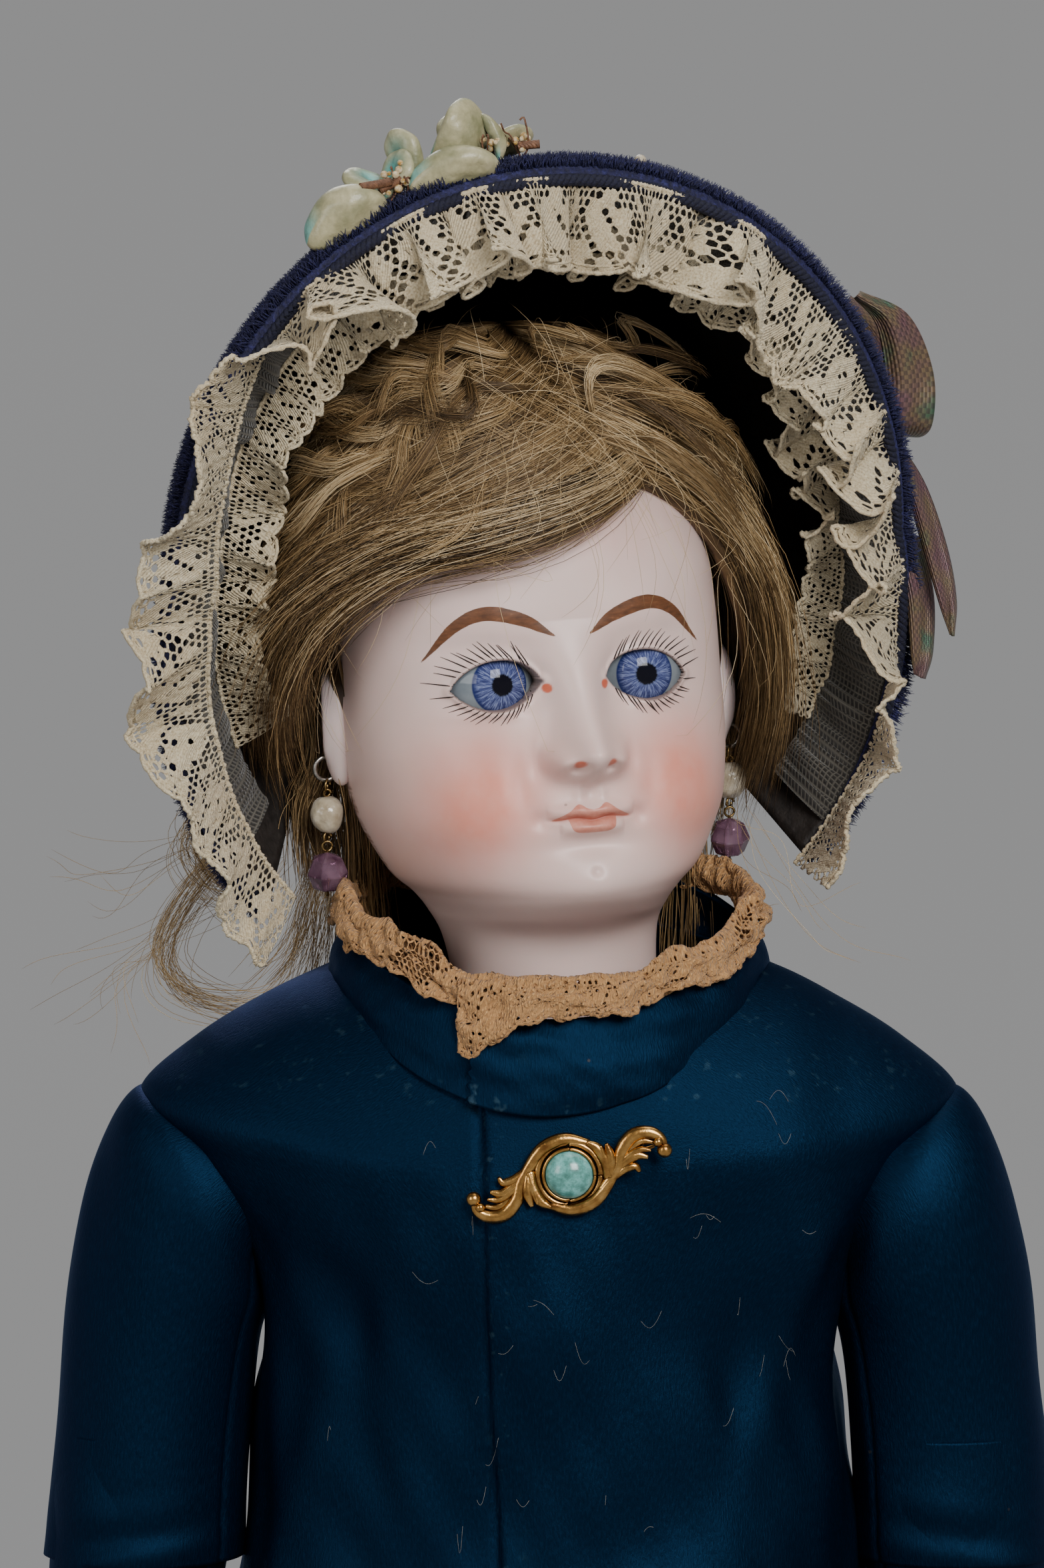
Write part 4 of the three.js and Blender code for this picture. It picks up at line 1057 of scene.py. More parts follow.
# Lining, with the shirred net over its front.
lining_profile = [
    (66.5, -0.6), (65.2, 3), (60, 14), (53, 26), (47.5, 38), (46, 50), (38, 60), (22, 65), (0.5, 66)
]
LINING_ROWS, LINING_COLS = 90, 240
lining_points = bonnet_shell(lining_profile, LINING_ROWS, LINING_COLS, wrinkle=0.6)
lining = mottled(
    "lining_silk", 500.0, [(0.3, (0.010, 0.008, 0.007)), (0.7, (0.026, 0.021, 0.018))], bump=(900.0, 0.2),
    Roughness=0.55
)
lined = thicken(
    build(
        "bonnet_lining_silk", lining_points, grid_faces(LINING_ROWS, LINING_COLS), lining.material, "head"
    ),
    0.5
)
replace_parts(lined, "bonnet_lining")

NET_RADIUS, NET_ROWS, NET_COLS = 64, 30, 1500
net_angle = np.linspace(-132, 134, NET_COLS)[None]
net_v = np.linspace(0, 1, NET_ROWS)[:, None]
shirr = np.sin(np.radians(net_angle) * NET_RADIUS * 2 * math.pi / 2.3 + 2.5 * np.sin(net_angle * 0.9))
puff = np.sin(np.radians(net_angle) * NET_RADIUS * 2 * math.pi / 13 + 1.3 * np.sin(net_angle * 0.21))
swell = np.sin(math.pi * net_v)
net_r = 66.0 - 7.2 * net_v + (-1.1 * swell * (1.0 + puff) + 0.30 * shirr * (0.4 + swell))
net_h = -0.9 + 8.5 * net_v - 1.8 * swell * (0.6 + 0.4 * puff)
net_points = brim(net_angle + 0.35 * shirr * swell, net_r, net_h + 0 * net_angle)
net = Paint("silk_net", Roughness=0.75, Sheen_Weight=0.2)
weave_u = net.wave(1.0, net.stretched(net.read("flat", "Vector"), (420.0, 1, 1)), "X", 0.4)
weave_v = net.wave(1.0, net.stretched(net.read("flat", "Vector"), (1, 420.0, 1)), "Y", 0.4)
thread = net.math("MAXIMUM", weave_u, weave_v)
net_color = net.ramp(
    thread, (0.50, (0.010, 0.008, 0.006)), (0.80, (0.055, 0.048, 0.038)), (1.0, (0.11, 0.10, 0.08))
)
net.color(net.mix(net.ramp(net.noise(60.0), (0.35, 0.0), (0.65, 0.5)), net_color, (0.035, 0.030, 0.024)))
net.relief(thread, 0.25)
net_flat = flat_map(np.radians(net_angle) * NET_RADIUS, net_v * 11)
net_band = build(
    "shirred_net", net_points, grid_faces(NET_ROWS, NET_COLS), net.material, "head", flat=net_flat
)
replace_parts(net_band, "bonnet_net")


# ---------------------------------------------------------------- lace
def lace(name, surface, length, edge, heading, cell, motif, material, body, thread=0.4, corded=0.45, seed=1):
    """Bobbin lace: hexagon mesh with solid motifs on surface(u, v), from v = heading(u) to v = edge(u)."""
    r = np.random.default_rng(seed)
    widest = edge(np.linspace(0, length, 400)).max()
    lowest = heading(np.linspace(0, length, 400)).min()
    across, up = cell, cell * 0.8660254
    corner = np.radians(30 + 60 * np.arange(6))
    size = cell / math.sqrt(3)
    rows = int((widest - lowest) / up) + 2
    cols = int(length / across) + 1
    row, col = np.meshgrid(np.arange(rows), np.arange(cols), indexing="ij")
    cu = (col + 0.5 * (row % 2)).ravel() * across
    cv = lowest + row.ravel() * up
    keep = (cv < edge(cu) + 0.15 * cell) & (cv > heading(cu) - 0.15 * cell) & (cu < length)
    cu, cv = cu[keep], cv[keep]
    outer_u = cu[:, None] + size * np.cos(corner)
    outer_v = cv[:, None] + size * np.sin(corner)
    key = np.round(np.stack([outer_u, outer_v], -1).reshape(-1, 2) / (0.2 * cell)).astype(int)
    _, first, back = np.unique(key, axis=0, return_index=True, return_inverse=True)
    back = back.ravel()
    shared = np.stack([outer_u.ravel()[first], outer_v.ravel()[first]], 1)
    shared += r.normal(0, 0.07 * cell, shared.shape)
    shared[:, 0] = np.clip(shared[:, 0], 0, length)
    shared[:, 1] = np.clip(shared[:, 1], heading(shared[:, 0]), edge(shared[:, 0]))
    solid = motif(cu, cv) + r.normal(0, 0.05, len(cu))
    hole = np.clip(1 - thread / (0.5 * cell), 0.1, 0.85) * np.where(solid > 0.5, 0.28, 1 - 0.25 * solid)
    hole = hole * (1 + r.normal(0, 0.10, len(cu)))
    corners_uv = shared[back].reshape(-1, 6, 2)
    middle = corners_uv.mean(axis=1, keepdims=True)
    inner = middle + (corners_uv - middle) * np.clip(hole, 0.05, 0.88)[:, None, None]
    n = len(cu)
    points_uv = np.vstack([shared, inner.reshape(-1, 2)])
    inside = len(shared) + np.arange(n * 6).reshape(n, 6)
    outside = back.reshape(n, 6)
    quads = np.stack(
        [outside, np.roll(outside, -1, 1), np.roll(inside, -1, 1), inside], -1
    ).reshape(-1, 4)
    filled = inside[(solid > 0.5) & (r.random(n) > 0.04)]
    dense = np.r_[np.zeros(len(shared)), np.repeat((solid > 0.5).astype(float), 6)]
    body_points = surface(points_uv[:, 0], points_uv[:, 1])
    mesh = build(name, body_points, [quads, filled], material, body,
                 flat=flat_map(points_uv[:, 0], points_uv[:, 1]), dense=dense)
    thicken(mesh, thread * 0.7)
    run = np.arange(0, length, 0.45)
    lines = [surface(run, edge(run) - 0.1)]
    if corded:
        lines.append(surface(run, edge(run) - 1.5 * corded - 0.55))
        lines.append(surface(run, heading(run) + 0.3))
    wobble = 1 + 0.22 * np.sin(run * 9.0) + 0.15 * np.sin(run * 23.0)
    radii = np.array([0.44, 0.24, 0.40])[: len(lines), None] * wobble[None] * (corded or 0.4) / 0.45
    cords = build(name + "_cord", *tubes(np.stack(lines), radii, sides=5), material, body,
                  flat=np.zeros((len(lines) * len(run) * 5, 3)), dense=np.ones(len(lines) * len(run) * 5))
    return mesh, cords


def leaf(u, v, u0, v0, long, wide, lean_by):
    c, s = math.cos(lean_by), math.sin(lean_by)
    a, b = (u - u0) * c + (v - v0) * s, -(u - u0) * s + (v - v0) * c
    return (a / long) ** 2 + (b / wide) ** 2 < 1


def floral(repeat, width):
    def motif(u, v):
        p = np.mod(u + 0.35 * np.sin(u * 0.21), repeat)
        k = width / 13.5
        solid = (
            leaf(p, v, repeat * 0.26, 7.4 * k, 3.4 * k, 1.5 * k, 0.9)
            | leaf(p, v, repeat * 0.26, 3.6 * k, 3.0 * k, 1.3 * k, -0.5)
        )
        solid |= (
            leaf(p, v, repeat * 0.50, 5.4 * k, 2.0 * k, 1.9 * k, 0.0)
            | leaf(p, v, repeat * 0.10, 10.3 * k, 2.2 * k, 1.1 * k, 0.2)
        )
        solid |= (
            leaf(p, v, repeat * 0.68, 9.6 * k, 3.4 * k, 1.2 * k, -0.35)
            | leaf(p, v, repeat * 0.86, 4.2 * k, 2.4 * k, 1.0 * k, 1.2)
        )
        solid |= (v < 1.1 * k) | (v > (width - 1.6 * k)) & (np.mod(u, 3.2) < 1.4)
        return solid.astype(float)
    return motif


cotton_lace = Paint("cotton_lace", Roughness=0.85, Sheen_Weight=0.15)
spun = cotton_lace.noise(2600.0, detail=4.0)
cream = cotton_lace.ramp(
    spun, (0.28, (0.37, 0.28, 0.155)), (0.5, (0.62, 0.52, 0.345)), (0.75, (0.78, 0.70, 0.51))
)
cotton_lace.color(
    cotton_lace.mix(
        cotton_lace.ramp(cotton_lace.noise(55.0), (0.4, 0.0), (0.75, 0.45)), cream, (0.48, 0.35, 0.185)
    )
)
twill = cotton_lace.wave(
    1.0, cotton_lace.stretched(cotton_lace.read("flat", "Vector"), (1100.0, 700.0, 1)), "DIAGONAL", 1.2
)
cotton_lace.relief(cotton_lace.plus(spun, cotton_lace.times(twill, 0.5)), 0.28)


def ruffle(low, high, length, radius, depth, outward, wave, swing, roll, seed):
    """Surface of a gathered strip sewn along the brim between two angles."""
    r = np.random.default_rng(seed)
    starts = r.uniform(0, 6.28, 5)

    def surface(u, v):
        share = u / length
        angle = low + (high - low) * share
        phase = (
            2 * math.pi * u / wave + 2.0 * np.sin(share * 17 + starts[0])
            + 1.1 * np.sin(share * 43 + starts[1])
        )
        size = (0.80 + 0.35 * np.sin(share * 29 + starts[2])) * (0.55 + 0.45 * hill(angle, 0, 70.0))
        size = size * np.interp(angle, [-62, -42], [0.5, 1.0])
        at, tangent, out = brim_frame(angle, radius(angle), depth(angle))
        c = outward(angle) + 0.13 * np.sin(share * 40 + starts[3]) + 0.10 * np.sin(share * 71 + starts[4])
        way = c[:, None] * out + np.sqrt(np.clip(1 - c**2, 0.05, 1))[:, None] * BRIM_FORWARD
        normal = np.cross(way, tangent)
        grow = 0.12 + np.clip(v, 0, None) / 13.5
        side = swing * size * grow * np.sin(phase)
        slide = roll * size * grow * np.sin(2 * phase + 0.5)
        curl = -0.10 * np.clip(v - 5, 0, None) ** 1.5 * np.sin(phase + 1.1 + share * 17)
        fine = 0.16 * np.sin(u * 1.9 + v * 0.6) + 0.12 * np.sin(u * 3.3 - v)
        return (
            at + v[:, None] * way + (side + curl * 0.35 + fine)[:, None] * normal + slide[:, None] * tangent
        )
    return surface


def outer_radius(a):
    return through(
        a, [-141, -110, -78, -52, -30, 0, 60, 141], [63.5, 62.0, 62.5, 66.5, 68.3, 68.3, 68.0, 66.5]
    )


def outer_lean(a):
    return through(a, [-141, -110, -80, -62, -46, -30, 0, 36, 66, 95, 120, 141],
                   [0.62, 0.88, 0.86, 0.66, 0.05, -0.62, -0.93, -0.90, -0.80, -0.66, -0.3, 0.15])


OUTER_LENGTH, OUTER_WIDTH = 560.0, 15.6
outer_surface = ruffle(
    -141, 141, OUTER_LENGTH, outer_radius, lambda a: np.interp(a, [-75, -50], [-3.0, -1.6]), outer_lean,
    31.0, 6.4, 3.6, 5
)


def outer_edge(u):
    return OUTER_WIDTH - 1.5 + 1.5 * np.sqrt(np.abs(np.sin(math.pi * u / 8.6)))


outer, outer_cord = lace(
    "outer_lace", outer_surface, OUTER_LENGTH, outer_edge, lambda u: 0 * u, 1.6, floral(17.2, 15.6),
    cotton_lace.material, "head", thread=0.25, seed=11
)
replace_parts(outer, "lace_outer")

INNER_LENGTH = 420.0
inner_surface = ruffle(-121, 124, INNER_LENGTH, lambda a: 59.3 + 0 * a, lambda a: 6.8 + 0 * a,
                       lambda a: -0.84 + 0.04 * np.cos(np.radians(a)), 21.0, 5.6, 3.2, 9)


def inner_edge(u):
    return 8.6 + 1.8 * np.sqrt(np.abs(np.sin(math.pi * u / 6.4)))


inner, inner_cord = lace(
    "inner_lace", inner_surface, INNER_LENGTH, inner_edge, lambda u: 0 * u, 1.45, floral(12.8, 9.6),
    cotton_lace.material, "head", thread=0.275, corded=0.38, seed=12
)
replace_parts(inner, "lace_inner")

# ---------------------------------------------------------------- coat
# Half width, front y, back y, then the height at the front, side and back.
COAT = [
    (105.5, -105, 105, 96, 96, 96), (91, -89, 89, 122, 122, 122), (78, -72, 72, 150, 150, 150),
    (67.5, -57.5, 57, 175, 175, 175), (61.8, -49, 49, 200, 200, 200), (57, -42, 42, 232, 232, 232),
    (53.6, -38, 37.5, 265, 265, 265), (50.3, -36.2, 35.6, 296, 300, 300), (51.5, -36, 35.5, 308, 314, 314),
    (58, -36, 35, 318, 326, 326), (66, -36, 34, 327, 336, 337), (71.5, -35.8, 31, 333, 344, 347),
    (61.5, -35.6, 29.5, 337, 353.5, 357), (49, -35.2, 28, 341, 361, 366), (37.5, -34.6, 27, 345, 366, 373)
]
OVERLAP_X = -11.2
COAT_ROWS, COAT_COLS = 330, 560
silk = Paint("silk_satin", Metallic=0.6, Specular_IOR_Level=0.3, Specular_Tint=(0.15, 0.5, 1.0, 1))
flat = silk.read("flat", "Vector")
fibre = silk.noise(1.0, silk.stretched(flat, (3000.0, 620.0, 1)), detail=4.0, rough=0.65)
weave = silk.noise(1.0, silk.stretched(flat, (5200.0, 900.0, 1)), detail=2.0)
cloud = silk.noise(26.0, detail=4.0)
dye = silk.ramp(
    fibre, (0.30, (0.0011, 0.0070, 0.019)), (0.52, (0.0015, 0.0098, 0.0265)),
    (0.72, (0.0026, 0.0165, 0.043))
)
dye = silk.mix(silk.ramp(cloud, (0.38, 0.0), (0.75, 0.45)), dye, (0.0016, 0.0085, 0.025))
worn = silk.ramp(silk.noise(420.0, detail=2.0), (0.62, 0.0), (0.72, 0.4))
dye = silk.mix(silk.times(worn, silk.read("wear")), dye, (0.05, 0.10, 0.13))
soil = silk.ramp(silk.cells(120.0), (0.0, 1.0), (0.03, 0.8), (0.05, 0.0))
soil = silk.times(soil, silk.ramp(silk.noise(70.0, detail=1.0), (0.58, 0.0), (0.66, 0.8)))
silk.color(silk.mix(soil, dye, (0.055, 0.045, 0.035)))
silk.rough(silk.ramp(silk.plus(silk.times(fibre, 0.6), silk.times(cloud, 0.4)), (0.3, 0.38), (0.7, 0.54)))
silk.relief(silk.plus(fibre, silk.times(weave, 0.5)), 0.17, 0.8)


def loft(table, rows, cols):
    """Surface through the table's rings, its columns from the back round to the back, and its run."""
    line = smooth_line(table, 1500)
    run = run_along(line[:, [0, 4]])
    line = evenly(line, run, rows)
    w, yf, yb, zf, zs, zb = [line[:, k : k + 1] for k in range(6)]
    a = np.linspace(-math.pi, math.pi, cols, endpoint=False)[None]
    c, s = np.cos(a), np.sin(a)
    ahead, behind = np.maximum(c, 0), np.maximum(-c, 0)
    x = w * s
    y = yf * ahead + yb * behind
    z = zs + (zf - zs) * ahead**2 + (zb - zs) * behind**2
    return np.stack([x, y, z], -1), a, np.linspace(0, run[-1], rows)[:, None]


def around(p):
    """Outward directions of a lofted grid whose columns run round."""
    round_ = np.roll(p, -1, 1) - np.roll(p, 1, 1)
    up = np.gradient(p, axis=0)
    n = np.cross(round_, up)
    return n / (np.linalg.norm(n, axis=-1, keepdims=True) + 1e-9)


coat, coat_turn, coat_run = loft(COAT, COAT_ROWS, COAT_COLS)
outward = around(coat)
cx, cy, cz = coat[..., 0], coat[..., 1], coat[..., 2]
skirt = step(215, 110, cz)
phase = coat_turn * 10 + 0.8 * np.sin(coat_turn * 3 + 1) + 0.4 * np.sin(coat_turn * 7)
swell = 4.6 * skirt * (np.sin(phase) - 0.1) * (0.75 + 0.25 * np.sin(coat_turn * 5 + 2))
swell += 1.9 * waves(coat * [1, 1, 0.55], 46.0, 8) * step(345, 320, cz)
swell += 0.60 * waves(coat * [1, 1, 0.6], 22.0, 9) * step(345, 320, cz)
drag = np.abs(cx) - (39 + (cz - 300) * 0.25)
swell += 1.0 * hill(drag, 0, 4.0) * step(262, 292, cz) * step(338, 318, cz) * step(5, -10, cy)
swell -= 1.1 * hill(np.abs(cx), 33, 4.5) * step(270, 296, cz) * step(335, 310, cz) * step(5, -10, cy)
front = step(10, -5, cy)
lap_x = OVERLAP_X + 0.035 * (344 - cz)
lapped = step(-0.45, 0.25, cx - lap_x + 0.35 * np.sin(cz * 0.09)) * front
lapped = np.maximum(lapped * step(52, 40, cx), 0)
swell += 1.0 * lapped
swell -= 0.5 * np.exp(-(((cx - lap_x + 0.9) / 0.6) ** 2)) * front
swell -= 0.55 * hill(np.abs(np.degrees(coat_turn)), 112, 0.55) * step(344, 338, cz)
coat = coat + swell[..., None] * outward
wear = hill(cx - lap_x, 1.5, 2.2) * front * 0.9 + step(343, 347, cz) * front * 0.5
coat_flat = flat_map(coat_turn * 45, coat_run)
coat_piece = build("coat_satin", coat, grid_faces(COAT_ROWS, COAT_COLS, wrap=True), silk.material, "torso",
                   flat=coat_flat, wear=wear.ravel())
thicken(coat_piece, 0.8, -1)
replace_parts(coat_piece, "coat_body")

# Sleeves: centre x, y, z, tilt of the ring towards the shoulder seam, then the two half widths.
UPPER_SLEEVE = [
    (53.5, 0, 334.0, 54, 15.0, 14.5), (58.0, 0, 331.0, 54, 17.0, 16.6), (61.0, 0, 328.6, 52, 18.3, 17.6),
    (63.6, 0, 323.0, 42, 18.4, 18.0), (65.8, 0, 314.5, 24, 17.8, 17.6), (67.9, 0, 304, 7, 17.0, 16.8),
    (69.3, 0, 290, 0, 16.7, 16.4), (70.6, 0, 275, 0, 16.8, 16.5), (71.4, 0, 262, 0, 17.2, 16.9)
]
LOWER_SLEEVE = [
    (69.6, 0, 284, 0, 15.6, 15.4), (70.6, 0, 272, 0, 15.8, 15.6), (71.6, 0, 260, 0, 15.9, 15.8),
    (74.0, -1, 240, 0, 14.6, 14.6), (76.3, -2.5, 222, 0, 13.2, 13.4), (77.8, -3.8, 207, 0, 12.2, 12.6),
    (78.2, -4, 200, 0, 12.4, 12.8)
]


def turn_gap(a, at):
    """Signed difference of two angles, through the shorter way round."""
    return np.angle(np.exp(1j * (a - at)))


def sleeve(table, side, rows, cols, seed):
    line = smooth_line(table, rows)
    a = full_turn(cols)
    tilt = np.radians(line[:, 3:4])
    u, v = line[:, 4:5] * np.cos(a), line[:, 5:6] * np.sin(a)
    run = run_along(line[:, :3])[:, None]
    x = line[:, 0:1] + u * np.cos(tilt)
    z = line[:, 2:3] + u * np.sin(tilt)
    p = np.stack([x, line[:, 1:2] + v, z], -1)
    n = np.stack([np.cos(a) * np.cos(tilt), np.sin(a) + 0 * tilt, np.cos(a) * np.sin(tilt)], -1)
    settle = step(3, 18, run)
    swell = (
        1.3 * waves(p * [1, 1, 0.4], 44.0, seed, 2) * settle
        + 0.28 * waves(p * [1, 1, 0.6], 20.0, seed + 1, 2) * settle
    )
    inner = np.exp(-((turn_gap(a, 3.75) / 0.045) ** 2)) + np.exp(-((turn_gap(a, 0.9) / 0.04) ** 2))
    swell = swell - 0.55 * inner
    swell += 0.6 * hill(run, 11, 5.0) * (0.6 + 0.4 * np.cos(a))
    crook = hill(z, 262, 9.0) * np.exp(-((turn_gap(a, -math.pi / 2) / 0.9) ** 2))
    swell += 0.5 * crook * np.sin((z - 262) * 0.75 + 2 * np.cos(a))
    p = p + swell[..., None] * n
    p[..., 0] *= side
    return p.reshape(-1, 3), grid_faces(rows, cols, wrap=True), flat_map(a * 16, run)


for name, side in SIDES:
    for part, table, seed, near, far, start, end in (
        ("upper", UPPER_SLEEVE, 41, "torso", "upper_arm_" + name, (61, 0, 336), (67, 0, 304)),
        ("lower", LOWER_SLEEVE, 45, "upper_arm_" + name, "forearm_" + name, (71, 0, 276), (72, 0, 250)),
    ):
        p, f, at = sleeve(table, side, 150, 220, seed + int(side))
        f = f if side < 0 else f[:, ::-1]
        made = build(f"sleeve_{part}_{name}_satin", p, f, silk.material, flat=at, wear=np.zeros(len(p)))
        thicken(made, 0.7, 0)
        start, end = [Vector((side * c[0], c[1], c[2])) * MM for c in (start, end)]
        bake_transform(made)
        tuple(start)
        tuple(end)
        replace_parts(made, f"sleeve_{part}_{name}")

# Stand collar: one band that laps over itself at the front.
def collar_point(turn, share, lift=0.0):
    """share 0 is the neckline seam, 1 the top of the band."""
    c, s = np.cos(turn), np.sin(turn)
    ahead, behind = np.maximum(c, 0), np.maximum(-c, 0)
    wide = 37.4 - 3.2 * share + lift
    x = wide * s
    y = (-35.6 + 2.6 * share - lift) * ahead + (27.4 - 1.6 * share + lift) * behind
    z_low = 366 - 21.5 * ahead**1.6 + 7 * behind**2
    z_high = 373.4 - 13.4 * ahead**1.5 + 10.5 * behind**2
    return np.stack([x, y, z_low + (z_high - z_low) * share], -1)


BAND_START, BAND_REACH = -20.5, 372.0
BAND_ROWS, BAND_COLS = 40, 620
band_turn = np.linspace(math.radians(BAND_START), math.radians(BAND_START + BAND_REACH), BAND_COLS)[None]
band_v = np.linspace(0, 1, BAND_ROWS)[:, None]
lapping = step(math.radians(20), math.radians(BAND_START), band_turn) * 1.2 + 0.9
band = collar_point(band_turn + 0 * band_v, -0.06 + 1.06 * band_v + 0 * band_turn, lapping)
ragged_end = (
    np.exp(-((band_turn - band_turn[0, 0]) / 0.02)) * 0.012
    * waves(np.stack([band_v * 15, band_v * 3], -1), 2.0, 4)
)
band = collar_point(band_turn + ragged_end, -0.06 + 1.06 * band_v + 0 * band_turn, lapping)
plump = (0.9 * np.sin(math.pi * band_v) + 0.35 * waves(band * [1, 1, 1.5], 16.0, 14))[..., None]
band += (
    plump
    * np.stack(
        [np.sin(band_turn) + 0 * band_v, -np.cos(band_turn) + 0 * band_v, 0 * band_v + 0 * band_turn], -1
    )
)
band_wear = (
    np.exp(-((band_turn - band_turn[0, 0]) / 0.10))
    + 0.8 * hill(band_v, 0, 0.16) * np.maximum(np.cos(band_turn), 0) ** 4
)
band_flat = flat_map(band_turn * 36, band_v * 14)
band_piece = build(
    "collar_band_satin", band, grid_faces(BAND_ROWS, BAND_COLS), silk.material, "torso", flat=band_flat,
    wear=np.clip(band_wear, 0, 1).ravel()
)
thicken(band_piece, 1.1, -1)
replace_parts(band_piece, "coat_collar")

# Tan tape lace folded over the top of the band.
tan_lace = Paint("tan_tape_lace", Roughness=0.9, Sheen_Weight=0.12)
yarn = tan_lace.noise(1900.0, detail=4.0)
tape = tan_lace.stretched(tan_lace.read("flat", "Vector"), (480.0, 480.0, 1))
coil = tan_lace.times(tan_lace.wave(1.0, tape, "DIAGONAL", 6.0), tan_lace.wave(1.3, tape, "X", 8.0))
ecru = tan_lace.ramp(
    yarn, (0.28, (0.27, 0.125, 0.038)), (0.5, (0.56, 0.30, 0.110)), (0.75, (0.72, 0.42, 0.175))
)
ecru = tan_lace.mix(tan_lace.ramp(coil, (0.05, 0.6), (0.45, 0.0)), ecru, (0.27, 0.13, 0.05))
tan_lace.color(
    tan_lace.mix(tan_lace.ramp(tan_lace.noise(60.0), (0.4, 0.0), (0.7, 0.4)), ecru, (0.52, 0.28, 0.12))
)
tan_lace.relief(tan_lace.plus(tan_lace.times(coil, 0.9), yarn), 0.30)
TAN_LENGTH, TAN_WIDTH = 252.0, 17.5
TAN_FOLD = 7.0


def tan_surface(u, v):
    turn = math.radians(-24) + math.radians(388) * u / TAN_LENGTH
    hang = v - TAN_FOLD
    outside = np.clip(hang, 0, None)
    inside = np.clip(-hang, 0, None)
    lap = 1.3 * step(40, 0, u)
    flap = hill(np.degrees(turn), 318, 20)
    tip = hill(u, 0, 9.0)
    puff = 1.3 + 0.9 * np.sin(turn * 5 + 1.3) + 0.7 * np.sin(turn * 11)
    out = (
        1.2 + lap + np.clip(hang / 1.2, -1, 1) * 0.8 + 0.3 * puff * np.sin(math.pi * outside / 10.5)
        + 0.16 * outside
    )
    base = collar_point(turn, 1.0 + 0 * turn, out)
    crest = 5.6 + 0.8 * np.sin(turn * 4 + 0.6) + 0.7 * np.sin(turn * 9 + 2) + 2.4 * flap
    down = outside * (0.56 + 0.12 * flap + 0.62 * tip) + inside * 0.8
    fold = 1.0 - np.abs(np.clip(hang / 1.2, -1, 1)) ** 2
    base[:, 2] += crest - down + 0.8 * fold
    wrinkle = 0.6 * waves(np.stack([u, v], -1), 6.0, 71) + 0.6 * waves(np.stack([u, v * 0.5], -1), 13.0, 72)
    base[:, 0] += wrinkle * np.sin(turn)
    base[:, 1] -= wrinkle * np.cos(turn)
    base[:, 2] += 0.7 * waves(np.stack([u, v], -1), 9.0, 73)
    return base


def tan_edge(u):
    return (
        TAN_WIDTH - 1.6 + 1.1 * np.abs(np.sin(math.pi * u / 5.2))
        + 1.1 * waves(np.stack([u, 0 * u], -1), 19.0, 6)
    )


def rosettes(u, v):
    ring = np.hypot(np.mod(u + 3.5 * (v > 8.5), 7.0) - 3.5, np.mod(v, 8.5) - 4.25)
    gaps = (ring > 3.2) & (np.mod(u * 0.9 + v, 2.3) > 0.9)
    open_part = hill(u, 62, 22) + hill(u, 222, 15) + 0.8 * hill(u, 0, 7)
    torn = (
        waves(np.stack([u, v], -1), 22.0, 61) + waves(np.stack([u, v], -1), 7.0, 62) * 0.8
        + 0.75 * open_part > 1.15
    )
    return np.where(torn, -5.0, np.where(gaps | (ring < 0.55), -1.5, 1.0))


tan, tan_cord = lace(
    "collar_tape_lace", tan_surface, TAN_LENGTH, tan_edge, lambda u: 0 * u, 1.05, rosettes,
    tan_lace.material, "torso", thread=0.32, corded=0.36, seed=15
)
tan.modifiers["thickness"].thickness = 0.75 * MM
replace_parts(tan, "collar_lace")

# ---------------------------------------------------------------- flowers, ribbon and pin on the bonnet
petal_paint = Paint("waxed_petal", Roughness=0.42, Coat_Weight=0.15)
wax = petal_paint.ramp(
    petal_paint.noise(180.0, detail=4.0), (0.30, (0.20, 0.20, 0.10)), (0.55, (0.42, 0.38, 0.22)),
    (0.78, (0.56, 0.50, 0.33))
)
wax = petal_paint.mix(
    petal_paint.ramp(petal_paint.noise(900.0), (0.35, 0.25), (0.6, 0.0)), wax, (0.16, 0.15, 0.07)
)
aqua = petal_paint.ramp(
    petal_paint.noise(420.0), (0.3, (0.03, 0.24, 0.24)), (0.6, (0.10, 0.46, 0.44)),
    (0.8, (0.30, 0.52, 0.42))
)
petal_paint.color(petal_paint.mix(petal_paint.read("aqua"), wax, aqua))
petal_paint.relief(petal_paint.noise(500.0), 0.25)
stem_paint = mottled(
    "wrapped_stem", 1400.0, [(0.3, (0.085, 0.035, 0.016)), (0.7, (0.24, 0.11, 0.055))], Roughness=0.6
)
stem_paint.relief(stem_paint.wave(900.0, stem_paint.place(), "DIAGONAL"), 0.12)
stamen_paint = mottled(
    "stamen", 1200.0, [(0.35, (0.40, 0.22, 0.04)), (0.6, (0.62, 0.52, 0.34)), (0.8, (0.80, 0.74, 0.6))],
    bump=(1800.0, 0.2), Roughness=0.8
)


def petal(centre, long, wide, thick, heading, pitch, roll, curl, cupped):
    """Thick petal with a rolled rim, curled along its length."""
    p, f = ball((0, 0, 0), 1.0, 40, 60)
    p = turned(p, "Y", math.pi / 2)
    x, y, z = p.T
    dish = cupped * bump(x, y, 0.1, 0, 0.55, 0.5) * (z > -0.2)
    shape = np.stack(
        [
            x * long, y * wide * (1 + 0.25 * step(-0.2, 0.6, x) - 0.3 * step(0.0, -1, x)),
            z * thick - dish * thick + curl * (x * long) ** 2 / long
        ],
        1
    )
    shape += 0.25 * waves(shape, 7.0, 12)[:, None] * np.array([0, 0.6, 1])
    aqua_part = np.clip(dish * 1.6 + 0.7 * step(-0.35, -0.9, x) * (z > 0), 0, 1)
    shape = turned(turned(turned(shape, "X", roll), "Y", -pitch), "Z", heading)
    return (shape + centre, f), aqua_part


def on_bonnet(angle, rise, depth):
    at, tangent, out = brim_frame(float(angle), 68.5, float(depth))
    return at + out * rise


